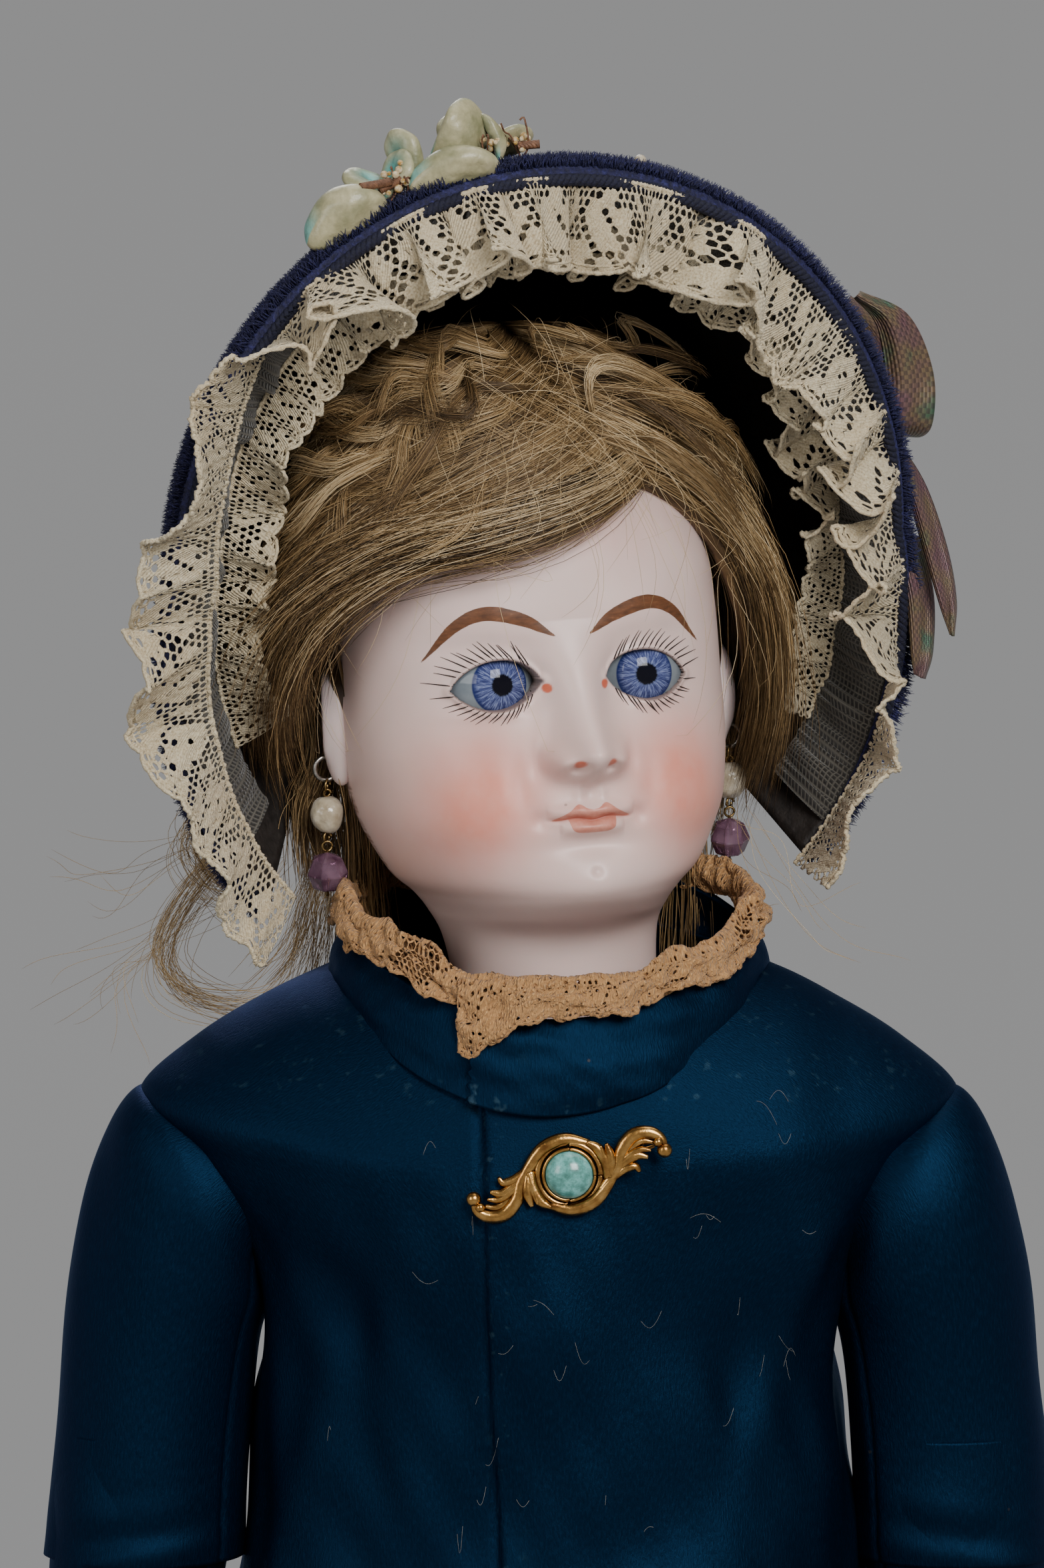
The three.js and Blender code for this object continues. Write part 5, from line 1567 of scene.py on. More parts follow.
rad = math.radians
FLOWERS = {
    "flower_low": [
        (on_bonnet(-31, 4.2, 4), 7.8, 5.4, 4.4, 0.2, rad(28), rad(-30), -0.25, 0.25),
        (on_bonnet(-22, 4.2, 6), 5.2, 3.4, 2.0, 0.3, rad(60), rad(20), 0.2, 0.6),
        (on_bonnet(-19, 5.2, 9), 5.6, 3.4, 2.2, -0.3, rad(110), rad(60), 0.2, 0.5),
        (on_bonnet(-25, 3.2, 10), 5.6, 4.0, 2.2, 2.4, rad(20), rad(0), 0.2, 0.5),
    ],
    "flower_top": [
        (on_bonnet(-14, 3.4, 3), 8.0, 4.4, 3.4, 0.15, rad(14), rad(-25), -0.22, 0.3),
        (on_bonnet(-11.5, 7.4, 5), 6.2, 4.4, 2.6, 0.1, rad(58), rad(-55), 0.45, 0.9),
        (on_bonnet(-6.5, 5.8, 6), 4.6, 3.0, 1.5, -0.5, rad(118), rad(35), 0.3, 0.7),
        (on_bonnet(-10, 4.2, 12), 6.4, 4.2, 2.1, 1.6, rad(35), rad(10), 0.3, 0.5),
        (on_bonnet(-4, 3.0, 9), 4.8, 3.4, 1.7, -1.0, rad(30), rad(0), 0.2, 0.5),
    ],
}
for node, petals in FLOWERS.items():
    made = [petal(*values) for values in petals]
    p, f = join([m[0] for m in made])
    flower = build(
        node + "_petals", p, f, petal_paint.material, "head", aqua=np.concatenate([m[1] for m in made])
    )
    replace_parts(flower, node)
stems, buds = [], []
r = np.random.default_rng(91)
for angle, depth in ((-24.5, 2), (-22.5, 3), (-9, 2), (-3.5, 3), (-7, 5)):
    root = on_bonnet(angle, 2.0, depth)
    for _ in range(3):
        tip = root + r.normal(0, 1.6, 3) + np.array([r.normal(-0.5, 2.2), -0.8, 3.4])
        stems.append(
            smooth_line([root, (root + tip) / 2 + r.normal(0, 0.7, 3), tip, tip + r.normal(0, 1.0, 3)], 12)
        )
    for _ in range(9):
        at = root + r.normal(0, 1.1, 3) + np.array([0, -0.3, 3.3])
        buds.append(ball(at, r.uniform(0.35, 0.75), 8, 10))
thick = [smooth_line([on_bonnet(a, u, d), on_bonnet(a - b, u + c, d - 1)], 12) for a, u, d, b, c in
         ((-23, 5.4, 2, 4.2, 2.2), (-21.5, 4.6, 3, 3.4, 0.4), (-4, 4.4, 3, -3.0, 0.2))]
build("flower_wires", *tubes(stems, 0.17, sides=5), stem_paint.material, "head")
build("flower_stems", *tubes(thick, 0.75, sides=10), stem_paint.material, "head")
build("flower_stamens", *join(buds), stamen_paint.material, "head")

ribbon_paint = Paint("shot_ribbon", Roughness=0.36, Metallic=0.25, Anisotropic=0.4)
cloth = ribbon_paint.read("flat", "Vector")
pick_row = ribbon_paint.node("TexChecker", out="Fac", Vector=cloth, Scale=1450.0)
rib = ribbon_paint.wave(1.0, ribbon_paint.stretched(cloth, (1, 460.0, 1)), "Y", 0.3)
shot = ribbon_paint.ramp(
    ribbon_paint.noise(160.0), (0.35, (0.17, 0.085, 0.095)), (0.55, (0.20, 0.135, 0.075)),
    (0.72, (0.06, 0.13, 0.075))
)
ribbon_paint.color(ribbon_paint.mix(ribbon_paint.times(pick_row, 0.55), shot, (0.045, 0.03, 0.035)))
ribbon_paint.relief(ribbon_paint.plus(rib, ribbon_paint.times(pick_row, 0.8)), 0.12)


def ribbon(name, inner_line, outer_line, rows=60, cols=22):
    a, b = smooth_line(inner_line, rows)[:, None], smooth_line(outer_line, rows)[:, None]
    v = np.linspace(0, 1, cols)[None, :, None]
    p = a + (b - a) * v
    p[..., 1] += (
        1.6 * np.sin(v[..., 0] * math.pi) * -1
        + 0.5 * np.sin(v[..., 0] * 9 + np.linspace(0, 5, rows)[:, None])
    )
    run = run_along(a[:, 0])[:, None]
    made = build(
        name, p, grid_faces(rows, cols), ribbon_paint.material, "head", flat=flat_map(run, v[..., 0] * 9)
    )
    return thicken(made, 0.45)


bow = ribbon(
    "ribbon_bow_loop",
    [
        (53, 2, 482), (57, 4, 477), (58.5, 5, 468), (58, 6, 461), (60, 12, 458), (59, 17, 465),
        (55, 18, 474), (51, 14, 480)
    ],
    [
        (54, 4, 483), (62.5, 6, 479), (67.0, 9, 469), (66.8, 10, 459.5), (64, 19, 458), (65, 24, 466),
        (60, 23, 476), (53, 19, 482)
    ]
)
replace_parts(bow, "ribbon_bow")
tail = ribbon(
    "ribbon_tail_end", [(59, 7, 456), (62.5, 8, 448), (65.6, 9, 438), (68.6, 9, 428), (70.4, 9.5, 423)],
    [(61, 13, 457), (66.0, 13, 449), (69.8, 13, 438), (71.4, 12, 429), (71.0, 10.5, 422.6)], cols=14
)
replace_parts(tail, "ribbon_tail")
under = ribbon("ribbon_under_end",
               [(60, 10, 440), (62.5, 10, 430), (63.5, 10, 420), (64, 10, 416)],
               [(65, 14.5, 440), (67.5, 14.5, 430), (67.4, 13.5, 420), (66, 11.5, 415)], 40, 10)

pearl_paint = mottled(
    "pearl", 320.0, [(0.30, (0.34, 0.27, 0.17)), (0.55, (0.54, 0.46, 0.33)), (0.75, (0.68, 0.62, 0.51))],
    bump=(420.0, 0.35), detail=4.0, Roughness=0.22, Coat_Weight=0.5, Coat_Roughness=0.12, Sheen_Weight=0.15
)
p, f = ball(on_bonnet(15, 2.2, 4), (1.1, 1.1, 1.2), 16, 22)
build("pin_head", p, f, pearl_paint.material, "head")

# ---------------------------------------------------------------- earrings
silver = mottled(
    "silver", 700.0, [(0.3, (0.20, 0.18, 0.15)), (0.6, (0.50, 0.47, 0.42)), (0.85, (0.68, 0.66, 0.62))],
    bump=(1500.0, 0.03), Metallic=1.0, Roughness=0.3
)
brass = mottled(
    "brass_wire", 900.0, [(0.3, (0.13, 0.075, 0.025)), (0.7, (0.48, 0.33, 0.13))], bump=(1800.0, 0.03),
    Metallic=1.0, Roughness=0.35
)
amethyst = mottled(
    "amethyst", 260.0,
    [(0.35, (0.12, 0.045, 0.085)), (0.65, (0.34, 0.19, 0.27)), (0.85, (0.56, 0.40, 0.48))], detail=2.0,
    Roughness=0.04, Transmission_Weight=0.55, IOR=1.52
)


def hoop(centre, radius, tilt, turns=1.0, count=48):
    a = np.linspace(0, 2 * math.pi * turns, count)
    p = np.stack([radius * np.cos(a), 0.25 * np.linspace(-1, 1, count) * turns, radius * np.sin(a)], -1)
    return turned(p, "Z", tilt) + centre


RING_RISE = 2.0
for name, side in SIDES:
    lo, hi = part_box("ear_ring_" + name)
    at = np.array((lo + hi) / 2) / MM + [0, 0, RING_RISE]
    ring = build(
        f"ear_ring_{name}_silver", *tubes([hoop(at, 2.05, 0.3)], 0.42, sides=10), silver.material, "head"
    )
    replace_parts(ring, "ear_ring_" + name)
    lo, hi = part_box("pearl_drop_" + name)
    hang = np.array([(lo.x + hi.x) / 2 / MM, (lo.y + hi.y) / 2 / MM, at[2] - 2.0])
    links = [
        hoop(hang + [0, 0, -0.9], 0.95, 1.3), hoop(hang + [0, 0, -2.3], 0.6, 0.4),
        hoop(hang + [0, 0, -9.9], 0.8, 0.9)
    ]
    link = build(f"pearl_wire_{name}", *tubes(links, 0.22, sides=7), brass.material, "pearl_" + name)
    p, f = ball((0, 0, 0), 1.0, 50, 60)
    p = np.sign(p) * np.abs(p) ** 0.86 * [2.85, 2.75, 3.2]
    p *= (1 + 0.045 * waves(p, 4.2, 5 + int(side)))[:, None]
    pearl = build(f"pearl_bead_{name}", p + hang + [0, 0, -6.0], f, pearl_paint.material, "pearl_" + name)
    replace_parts(pearl, "pearl_drop_" + name)
    below = hang + [0, 0, -16.2]
    p, f = ball((0, 0, 0), 1.0, 5, 7)
    p = turned(p * [3.75, 3.75, 3.75], "X", 0.25)
    bead = build(f"amethyst_bead_{name}", p + below, f, amethyst.material, "amethyst_" + name, smooth=False)
    mod = bead.modifiers.new("cut", "BEVEL")
    mod.width, mod.segments = 0.16 * MM, 1
    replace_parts(bead, "amethyst_drop_" + name)
    wires = [hoop(below + [0, 0, 4.6], 0.85, 0.2)]
    build(f"amethyst_wire_{name}", *tubes(wires, 0.22, sides=7), brass.material, "amethyst_" + name)
    build(
            f"amethyst_pin_{name}",
            *tubes([[below + [0, 0, z] for z in (-4.1, -1.4, 1.4, 4.0)]], 0.28, sides=7), brass.material,
            "amethyst_" + name
        )

# ---------------------------------------------------------------- brooch
gilt = Paint("antique_gilt", Metallic=1.0, Roughness=0.27)
rub = gilt.noise(500.0, detail=4.0)
cavity = gilt.node("AmbientOcclusion", out="AO", settings={"samples": 6}, Distance=0.0016)
gold = gilt.ramp(rub, (0.30, (0.30, 0.13, 0.035)), (0.52, (0.56, 0.30, 0.085)), (0.75, (0.76, 0.46, 0.16)))
gilt.color(gilt.mix(gilt.ramp(cavity, (0.35, 1.0), (0.78, 0.0)), gold, (0.055, 0.020, 0.010)))
gilt.relief(gilt.noise(1300.0), 0.05)
BROOCH_CENTRE = np.array([3.3, -38.6, 334.0])
HALF_SIDE = [
    ([(6.6, -0.6), (6.2, 2.2), (4.8, 4.5), (3.0, 5.6)], 0.85, 0.9),
    ([(7.0, 0.0), (7.1, 2.8), (6.3, 5.4)], 0.75, 1.0), ([(6.9, -0.4), (6.0, 2.8), (5.3, 5.0)], 0.5, 1.25),
    ([(5.0, -3.4), (8.0, 0.8), (8.9, 4.2), (10.9, 6.7), (13.6, 7.2), (15.6, 6.2), (16.3, 4.6)], 1.0, 0.6),
    ([(6.0, -2.4), (8.8, 1.4), (10.2, 4.2), (12.2, 5.7), (14.4, 5.5)], 0.8, 0.2),
    ([(7.0, -0.6), (9.4, 2.0), (11.4, 3.3), (13.4, 3.0)], 0.8, 0.5),
    ([(7.2, -0.9), (9.4, 0.9), (11.2, 1.4), (12.0, 0.5)], 0.75, 0.5),
    ([(-3.4, -5.2), (0.6, -6.0), (4.2, -4.6), (6.6, -1.8), (8.4, 1.2)], 0.95, 0.5),
    ([(7.2, 0.4), (9.8, 3.0), (12.0, 4.3), (13.9, 4.2)], 0.5, 0.9)
]
strokes = []
for path, wide, rise in HALF_SIDE:
    path = smooth_line(np.array(path), 30)
    t = np.linspace(0, 1, 30)
    body_of = 1.3 * wide * (0.35 + 0.65 * np.sin(math.pi * np.clip(t * 0.9 + 0.12, 0, 1)) ** 0.8)
    lift = -rise - 0.5 * t**3
    for turn_sign in (1, -1):
        line = np.stack([turn_sign * path[:, 0], lift, turn_sign * path[:, 1]], 1)
        strokes.append(tubes([line + BROOCH_CENTRE], body_of, sides=10, flat=0.85))
for turn_sign in (1, -1):
    for (bx, bz), br, by in (((16.2, 4.2), 1.3, -0.9), ((15.1, 5.6), 0.85, -1.3)):
        strokes.append(ball(BROOCH_CENTRE + [turn_sign * bx, by, turn_sign * bz], br, 18, 26))
strokes.append(tubes([hoop(BROOCH_CENTRE + [0, -0.4, 0], 5.35, 0.0, count=90)], 0.75, sides=12))
strokes.append(tubes([hoop(BROOCH_CENTRE + [0, -1.3, 0], 4.35, 0.0, count=80)], 0.32, sides=8))
strokes.append(ball(BROOCH_CENTRE + [0, 0.2, 0], (5.3, 0.9, 5.3), 20, 50))
brooch = build("brooch_acanthus", *join(strokes), gilt.material, "torso")
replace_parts(brooch, "brooch_mount")
turquoise = Paint("turquoise_stone", Roughness=0.22, Coat_Weight=0.3, Coat_Roughness=0.1)
vein = turquoise.noise(330.0, detail=5.0, rough=0.65)
stone_color = turquoise.ramp(
    vein, (0.30, (0.045, 0.13, 0.105)), (0.44, (0.10, 0.30, 0.26)), (0.56, (0.20, 0.52, 0.48)),
    (0.8, (0.33, 0.66, 0.61))
)
turquoise.color(stone_color)
p, f = ball(BROOCH_CENTRE + [0, -0.6, 0], (4.15, 3.0, 4.15), 40, 60)
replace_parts(build("brooch_cabochon", p, f, turquoise.material, "torso"), "brooch_stone")
pin = smooth_line([(-14.5, 2.4, -5.2), (-12.0, 1.6, -4.2), (0, 1.4, 0), (14.5, 1.6, 4.6)], 20) + BROOCH_CENTRE
pin_parts = [tubes([pin], 0.35, sides=8), ball(BROOCH_CENTRE + [-14.6, 0.6, -6.6], (0.9, 0.5, 0.9), 14, 18)]
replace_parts(build("brooch_pin_stem", *join(pin_parts), gilt.material, "torso"), "brooch_pin")

# Lint and loose threads on the coat.
coat_tree = BVHTree.FromPolygons(
    [Vector(v) for v in coat.reshape(-1, 3)], grid_faces(COAT_ROWS, COAT_COLS, wrap=True).tolist()
)
lint_paint = mottled("lint", 800.0, [(0.3, (0.16, 0.16, 0.15)), (0.7, (0.38, 0.37, 0.34))], Roughness=0.9)
r = np.random.default_rng(101)
threads = []
for _ in range(36):
    x, z = r.uniform(-46, 46), r.uniform(270, 352)
    way = r.uniform(0, 6.28)
    reach, bend = r.uniform(1.2, 5.5), r.normal(0, 1.6)
    line = []
    for t in np.linspace(0, 1, 10):
        hit = coat_tree.ray_cast(
            Vector(
                (
                    x + reach * t * math.cos(way), -90,
                    z + reach * t * math.sin(way) + bend * math.sin(3.14 * t)
                )
            ),
            Vector((0, 1, 0))
        )[0]
        if hit is None:
            break
        line.append(np.array(hit) + [0, -0.10, 0])
    if len(line) == 10:
        threads.append(line)
build("coat_lint", *tubes(threads, 0.028, sides=3), lint_paint.material, "torso")

# ---------------------------------------------------------------- petticoat, stockings, shoes
cotton = Paint("petticoat_cotton", Roughness=0.85, Sheen_Weight=0.1)
grain = cotton.noise(1.0, cotton.stretched(cotton.read("flat", "Vector"), (1800.0, 1800.0, 1)))
cotton.color(cotton.ramp(grain, (0.3, (0.60, 0.55, 0.46)), (0.7, (0.78, 0.75, 0.68))))
cotton.relief(grain, 0.12)
PETTICOAT = [
    (90, -88, 88, 104, 104, 104), (77, -74, 74, 125, 125, 125), (66, -61, 61, 152, 152, 152),
    (57.5, -48, 48, 178, 178, 178), (52, -40, 40, 198, 198, 198), (49, -36, 36, 214, 214, 214)
]
PETTI_ROWS, PETTI_COLS = 130, 420


def petti_pleat(turn):
    return 2.4 * (np.sin(turn * 14 + 0.9 * np.sin(turn * 3)) - 0.6)


petti, petti_turn, petti_run = loft(PETTICOAT, PETTI_ROWS, PETTI_COLS)
petti_fold = step(212, 110, petti[..., 2]) * petti_pleat(petti_turn)
petti = petti + petti_fold[..., None] * around(petti)
petticoat = build(
    "petticoat_cotton", petti, grid_faces(PETTI_ROWS, PETTI_COLS, wrap=True), cotton.material, "torso",
    flat=flat_map(petti_turn * 60, petti_run)
)
thicken(petticoat, 0.5, 0)
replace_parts(petticoat, "petticoat")
HEM_LENGTH = 600.0


def hem_surface(u, v):
    turn = np.clip(u / HEM_LENGTH, 0, 1) * 2 * math.pi - math.pi
    fold = petti_pleat(turn) + 0.9 * np.sin(turn * 60) * (0.2 + v / 9)
    r_at = 89.6 + fold + 0.12 * v
    return np.stack([r_at * np.sin(turn), -r_at * 0.98 * np.cos(turn), 106.0 - 0.94 * v], -1)


hem, hem_cord = lace(
    "petticoat_hem_lace", hem_surface, HEM_LENGTH, lambda u: 7.0 + 1.3 * np.abs(np.sin(math.pi * u / 6.4)),
    lambda u: 0 * u, 1.5, floral(12.8, 8.3), cotton_lace.material, "torso", thread=0.42, corded=0.4, seed=19
)

knit = Paint("stocking_knit", Roughness=0.85, Sheen_Weight=0.12)
rib_u = knit.wave(1.0, knit.stretched(knit.read("flat", "Vector"), (260.0, 1, 1)), "X", 0.2)
loops = knit.wave(1.0, knit.stretched(knit.read("flat", "Vector"), (1, 330.0, 1)), "Y", 0.6)
stitch = knit.plus(rib_u, knit.times(loops, 0.5))
knit.color(
    knit.mix(
        knit.ramp(knit.noise(70.0), (0.4, 0.0), (0.7, 0.4)),
        knit.ramp(stitch, (0.3, (0.46, 0.42, 0.34)), (1.2, (0.72, 0.69, 0.60))), (0.50, 0.44, 0.33)
    )
)
knit.relief(stitch, 0.3)
leather = Paint("shoe_leather", Roughness=0.38, Coat_Weight=0.15)
hide = leather.cells(900.0)
leather.color(
    leather.ramp(
        leather.noise(120.0, detail=5.0), (0.3, (0.008, 0.006, 0.005)), (0.62, (0.020, 0.015, 0.013)),
        (0.8, (0.09, 0.060, 0.04))
    )
)
leather.relief(leather.plus(hide, leather.times(leather.noise(240.0), 1.5)), 0.12)
sole_paint = mottled(
    "sole_leather", 260.0, [(0.3, (0.09, 0.045, 0.02)), (0.7, (0.20, 0.115, 0.06))], bump=(700.0, 0.15),
    detail=5.0, Roughness=0.7
)
ivory = mottled(
    "shoe_button", 500.0, [(0.3, (0.015, 0.012, 0.010)), (0.7, (0.05, 0.04, 0.035))], bump=(900.0, 0.05),
    Roughness=0.3
)
SHOE = [
    (10.4, -38.0, 18.6, 3.9, 3.9, 3.9), (11.4, -39.4, 19.8, 5.2, 5.2, 5.2),
    (11.6, -39.6, 19.8, 8.5, 8.5, 8.5), (11.2, -38.2, 19.4, 12, 12, 12),
    (10.4, -33.5, 18.2, 15.5, 16, 16.5), (9.9, -26.5, 16.6, 18, 19, 20), (9.8, -19.5, 15, 19.5, 21.5, 24),
    (10.0, -14.5, 13.6, 20.5, 23.5, 28)
]
SOLE = [
    (0.4, -12, -8, 0.05, 0.05, 0.05), (10.2, -38.2, 18.2, 0.05, 0.05, 0.05),
    (11.0, -39.2, 19.2, 0.6, 0.6, 0.6), (11.2, -39.6, 19.6, 2.2, 2.2, 2.2),
    (10.9, -39.0, 19.1, 3.6, 3.6, 3.6), (9.6, -37, 17.6, 3.85, 3.85, 3.85)
]
LEG_X, ANKLE_Y, STRAP_ROWS, STRAP_COLS = 20.0, 2.8, 14, 120
for name, side in SIDES:
    leg = "lower_leg_" + name
    shift = np.array([side * LEG_X, 0, 0])
    upper_p, turn, run = loft(SHOE, 90, 160)
    crease = (
        0.45 * np.exp(-(((upper_p[..., 1] + 22) / 5.0) ** 2))
        * np.sin(upper_p[..., 1] * 1.5 + upper_p[..., 0] * 0.3) * step(12, 16, upper_p[..., 2])
    )
    welt = 0.35 * np.exp(-(((run - run[-1] + 1.2) / 0.6) ** 2))
    upper_p = upper_p + (crease + welt)[..., None] * around(upper_p) + shift
    shoe = thicken(
        build(f"shoe_upper_{name}_leather", upper_p, grid_faces(90, 160, wrap=True), leather.material, leg),
        0.9, 0
    )
    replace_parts(shoe, "shoe_upper_" + name)
    sole_p, _, _ = loft(SOLE, 40, 120)
    sole_p = sole_p + shift
    sole = build(
        f"shoe_sole_{name}_leather", sole_p, grid_faces(40, 120, wrap=True), sole_paint.material, leg
    )
    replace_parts(sole, "shoe_sole_" + name)
    stitches = []
    for k in range(58):
        a = 2 * math.pi * k / 58
        at = np.array([11.5 * math.sin(a), -10 - 29.4 * math.cos(a), 4.4]) + shift
        way = np.array([math.cos(a) * 0.75, math.sin(a) * 1.1, 0.0])
        stitches.append([at - way * 0.7, at, at + way * 0.7])
    build(f"shoe_stitches_{name}", *tubes(stitches, 0.22, sides=5), sole_paint.material, leg)
    a = full_turn(STRAP_COLS)
    v = np.linspace(0, 1, STRAP_ROWS)[:, None]
    r_at = 10.9 + 0.5 * np.sin(math.pi * v)
    strap_p = (
        np.stack(
            [r_at * np.sin(a), ANKLE_Y - r_at * 1.02 * np.cos(a), 30.4 + 4.0 * v + 0.6 * np.cos(a)], -1
        )
        + shift
    )
    strap = thicken(
        build(
            f"shoe_strap_{name}_leather", strap_p, grid_faces(STRAP_ROWS, STRAP_COLS, wrap=True),
            leather.material, leg
        ),
        0.9, 0
    )
    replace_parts(strap, "shoe_strap_" + name)
    p, f = ball(np.array([side * 11.9, ANKLE_Y, 32.4]) + shift, (1.0, 1.9, 1.9), 16, 24)
    build(f"shoe_button_{name}", p, f, ivory.material, leg)
    lo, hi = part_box("stocking_" + name)
    top_z = hi.z / MM
    stocking_rows = [
        (9.4, -11.5, 13.6, 19, 19, 19), (9.1, -8.6, 13.3, 26, 26, 26), (9.5, -8.2, 13.5, 36, 36, 36),
        (11.1, -9.8, 14.1, 56, 56, 56), (12.9, -12.1, 15.2, 78, 78, 78), (13.4, -13.0, 15.1, 86, 86, 86),
        (13.0, -12.7, 14.1, 94, 94, 94), (12.5, -12.3, 13.3, top_z, top_z, top_z)
    ]
    sock_p, turn, run = loft(stocking_rows, 160, 120)
    slack = (
        0.35 * waves(sock_p * [1, 1, 2.2], 15.0, 21 + int(side))
        + 0.45 * np.exp(-(((run - run[-1] + 2) / 1.6) ** 2))
    )
    sock_p = sock_p + slack[..., None] * around(sock_p) + shift
    sock = thicken(
        build(
            f"stocking_{name}_knit", sock_p, grid_faces(160, 120, wrap=True), knit.material, leg,
            flat=flat_map(turn * 10, run)
        ),
        0.5, 0
    )
    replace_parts(sock, "stocking_" + name)

# ---------------------------------------------------------------- hands with separate fingers
composition = Paint("composition", Roughness=0.42, Coat_Weight=0.1)
flesh = composition.ramp(
    composition.noise(90.0, detail=5.0), (0.3, (0.62, 0.36, 0.25)), (0.7, (0.74, 0.48, 0.36))
)
composition.color(
    composition.mix(
        composition.ramp(composition.cells(220.0), (0.02, 0.35), (0.06, 0.0)), flesh, (0.25, 0.13, 0.08)
    )
)
composition.relief(composition.noise(500.0), 0.06)


def corners_of(node):
    """The two corners of a CAD node's box, in millimetres."""
    lo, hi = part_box(node)
    return np.array(lo) / MM, np.array(hi) / MM


def finger_width(half, root, tip):
    """Half widths along a finger with a rounded end."""
    rounding = np.sqrt(np.clip(1 - (np.linspace(-0.55, 1, 30) ** 12), 0.02, 1))
    return half * rounding * np.linspace(root, tip, 30)


for name, side in SIDES:
    low, high = corners_of("hand_" + name)
    middle = (low + high) / 2
    reach = high[2] - low[2]
    parts = []
    palm, f = ball((0, 0, 0), 1.0, 44, 60)
    palm = palm * [3.9, 7.4, reach * 0.27]
    palm[:, 0] -= (
        0.9 * bump(palm[:, 1], palm[:, 2], 0, 0, 4.5, 6.0) * np.sign(palm[:, 0] + 1e-6) * (palm[:, 0] < 0)
    )
    centre = np.array([middle[0], middle[1], high[2] - reach * 0.36])
    parts.append((palm * [side, 1, 1] + centre, f))
    parts.append(ball((middle[0], middle[1], high[2] - reach * 0.10), (4.9, 5.4, reach * 0.10), 20, 30))
    for k, (y, long) in enumerate(((-4.9, 0.90), (-1.8, 1.0), (1.5, 0.96), (4.7, 0.80))):
        base = centre + [0, y, -reach * 0.18]
        tip = centre + [-side * 2.4, y * 1.12, -reach * (0.18 + 0.40 * long)]
        knuckle = (base + tip) / 2 + [side * 0.8, 0, 0]
        line = smooth_line([base + [0, 0, 3], base, knuckle, tip], 30)
        fat = finger_width(1.95, 1.05, 0.80)
        fat *= 1 + 0.05 * np.cos(np.linspace(0, 4 * math.pi, 30))
        parts.append(tubes([line], fat, sides=18))
    thumb = smooth_line(
        [
            centre + [0, -4.5, 3.5], centre + [-side * 1.0, -7.6, -1.0], centre + [-side * 2.6, -8.6, -6.4],
            centre + [-side * 3.0, -8.2, -9.4]
        ],
        30
    )
    parts.append(tubes([thumb], finger_width(2.25, 1.1, 0.85), sides=18))
    hand = build(f"hand_{name}_composition", *join(parts), composition.material, "hand_" + name)
    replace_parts(hand, "hand_" + name)

# ---------------------------------------------------------------- elastics inside the body
braided = Paint("braided_elastic", Roughness=0.85)
braided.color(
    braided.ramp(
        braided.wave(700.0, braided.place(), "DIAGONAL", 0.5), (0.3, (0.46, 0.42, 0.34)),
        (0.8, (0.74, 0.70, 0.60))
    )
)
braided.relief(braided.wave(700.0, braided.place(), "DIAGONAL", 0.5), 0.2)
for node in ("arm_elastic", "leg_elastic"):
    low, high = corners_of(node)
    middle = (low + high) / 2
    if node == "arm_elastic":
        ends = [
            [
                (low[0] + 2, middle[1], middle[2]), (middle[0], middle[1], middle[2]),
                (high[0] - 2, middle[1], middle[2])
            ]
        ]
    else:
        ends = [
            [
                (s * high[0] * 0.85, middle[1], low[2] + 2), (s * high[0] * 0.45, middle[1], middle[2]),
                (middle[0] + s * 1.0, middle[1], high[2] - 2)
            ]
            for s in (1, -1)
        ]
    piece = build(
        node + "_braided", *tubes([smooth_line(e, 40) for e in ends], 1.4, sides=10), braided.material,
        "torso"
    )
    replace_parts(piece, node)

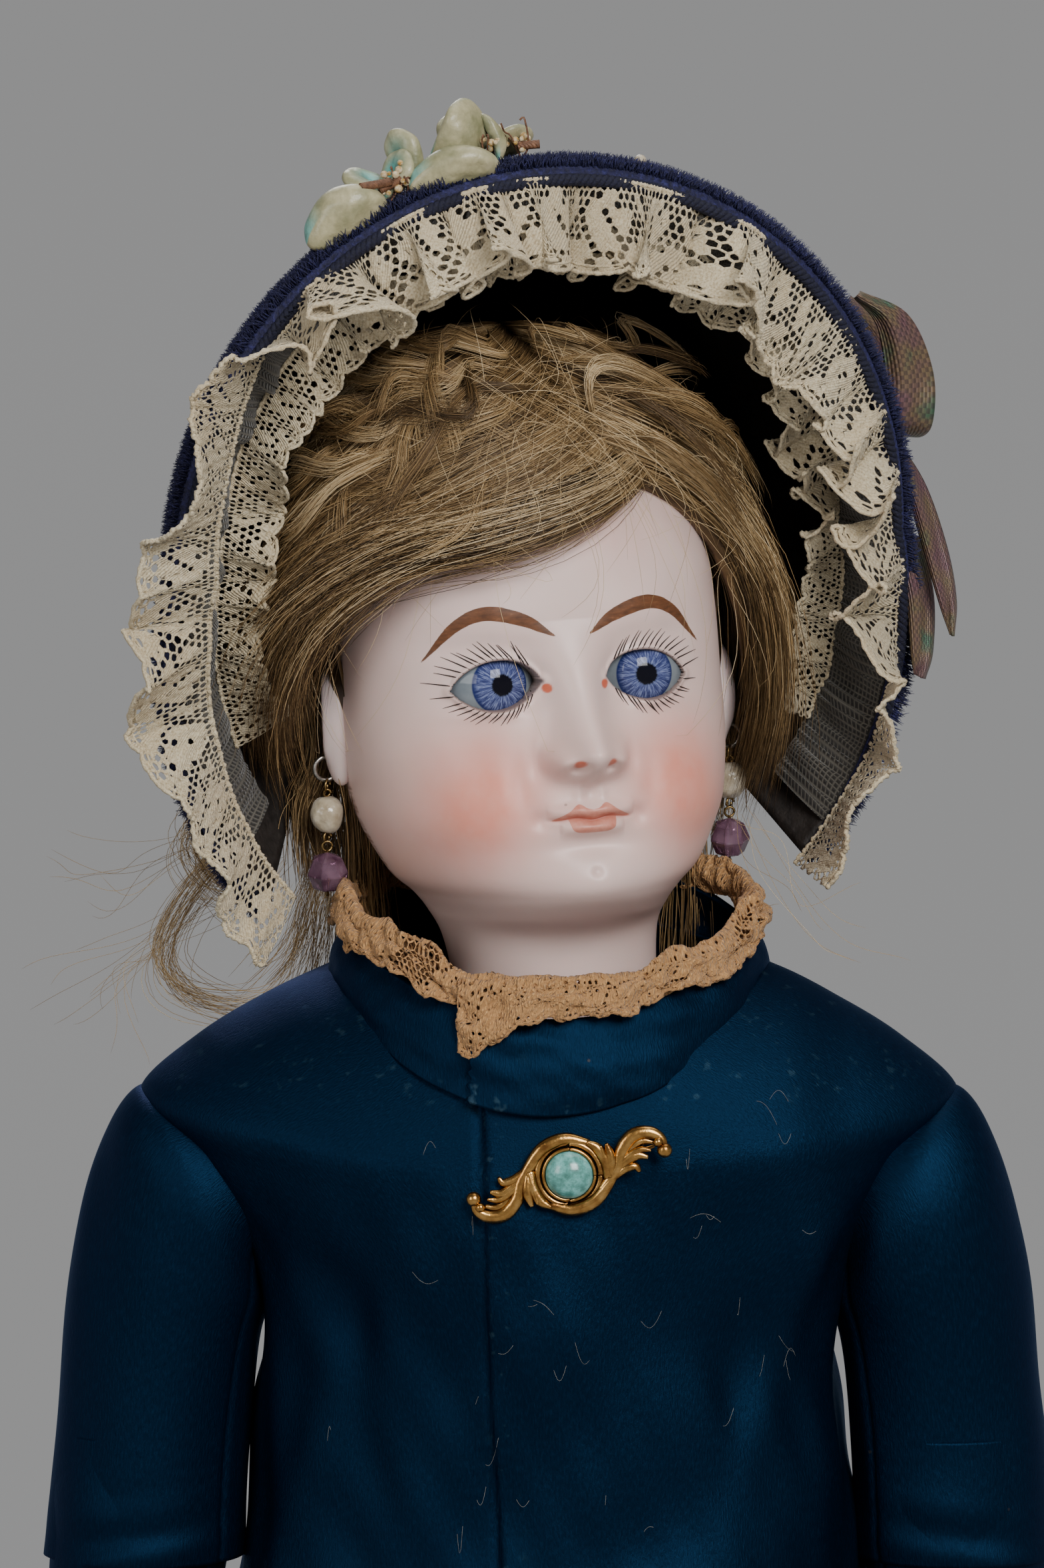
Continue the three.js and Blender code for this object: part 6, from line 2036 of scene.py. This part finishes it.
# ---------------------------------------------------------------- procedural finish of the plain CAD pieces
plain_wood = Paint("bare_wood", Roughness=0.65)
plain_wood.color(
    plain_wood.ramp(
        plain_wood.noise(1.0, plain_wood.place((260.0, 260.0, 40.0)), detail=4.0),
        (0.3, (0.26, 0.14, 0.06)), (0.7, (0.48, 0.30, 0.15))
    )
)
plain_wood.relief(plain_wood.noise(700.0), 0.05)
plain_iron = mottled(
    "iron", 400.0, [(0.35, (0.09, 0.08, 0.075)), (0.7, (0.22, 0.16, 0.12))], bump=(900.0, 0.05), detail=4.0,
    Roughness=0.5, Metallic=0.9
)
plain_cork = Paint("cork", Roughness=0.9)
plain_cork.color(
    plain_cork.ramp(plain_cork.cells(500.0), (0.05, (0.18, 0.09, 0.04)), (0.4, (0.46, 0.28, 0.15)))
)
plain_cork.relief(plain_cork.cells(500.0), 0.3)
plain_plaster = mottled(
    "plaster", 300.0, [(0.3, (0.62, 0.59, 0.53)), (0.7, (0.80, 0.78, 0.73))], bump=(600.0, 0.2),
    Roughness=0.95
)
CARRIED = {
    "composition": (
        composition,
        ["torso"] + [f"{part}_{s}" for part in ("upper_arm", "forearm", "thigh", "lower_leg") for s in "lr"]
    ),
    "bare_wood": (
        plain_wood, ["neck_button"] + [f"{part}_{s}" for part in ("elbow_ball", "knee_ball") for s in "lr"]
    ),
    "iron": (plain_iron, ["neck_spring", "neck_hook"]), "cork": (plain_cork, ["pate"]),
    "plaster": (plain_plaster, ["eye_plaster"])
}
for paint, nodes in CARRIED.values():
    for node in nodes:
        carried = frame["nodes"][node]
        carried.data.materials.clear()
        carried.data.materials.append(paint.material)


# ---------------------------------------------------------------- cloth sizes
def cloth_cut(obj, long, wide=None):
    """Works out a sheet's width for that length in millimetres: the given width, or else what the surface
    needs. The result is not used.
    """
    faces = obj.data.polygons
    areas = np.zeros(len(faces))
    faces.foreach_get("area", areas)
    long *= MM
    wide = wide * MM if wide else max(round(areas.sum() / long, 4), 0.0105)


find = bpy.data.objects
cloth_cut(coat_piece, 262)
cloth_cut(band_piece, 16)
cloth_cut(tan, TAN_WIDTH, wide=TAN_LENGTH)
cloth_cut(petticoat, 112)
cloth_cut(bonnet, 110)
cloth_cut(lined, 105)
cloth_cut(net_band, 11)
cloth_cut(outer, OUTER_WIDTH, wide=OUTER_LENGTH)
cloth_cut(inner, 10, wide=INNER_LENGTH)
cloth_cut(bow, 62)
cloth_cut(tail, 24)
cloth_cut(under, 12)
for name, _ in SIDES:
    cloth_cut(find[f"sleeve_upper_{name}_satin"], 74)
    cloth_cut(find[f"sleeve_lower_{name}_satin"], 86)
    cloth_cut(find[f"stocking_{name}_knit"], 92)
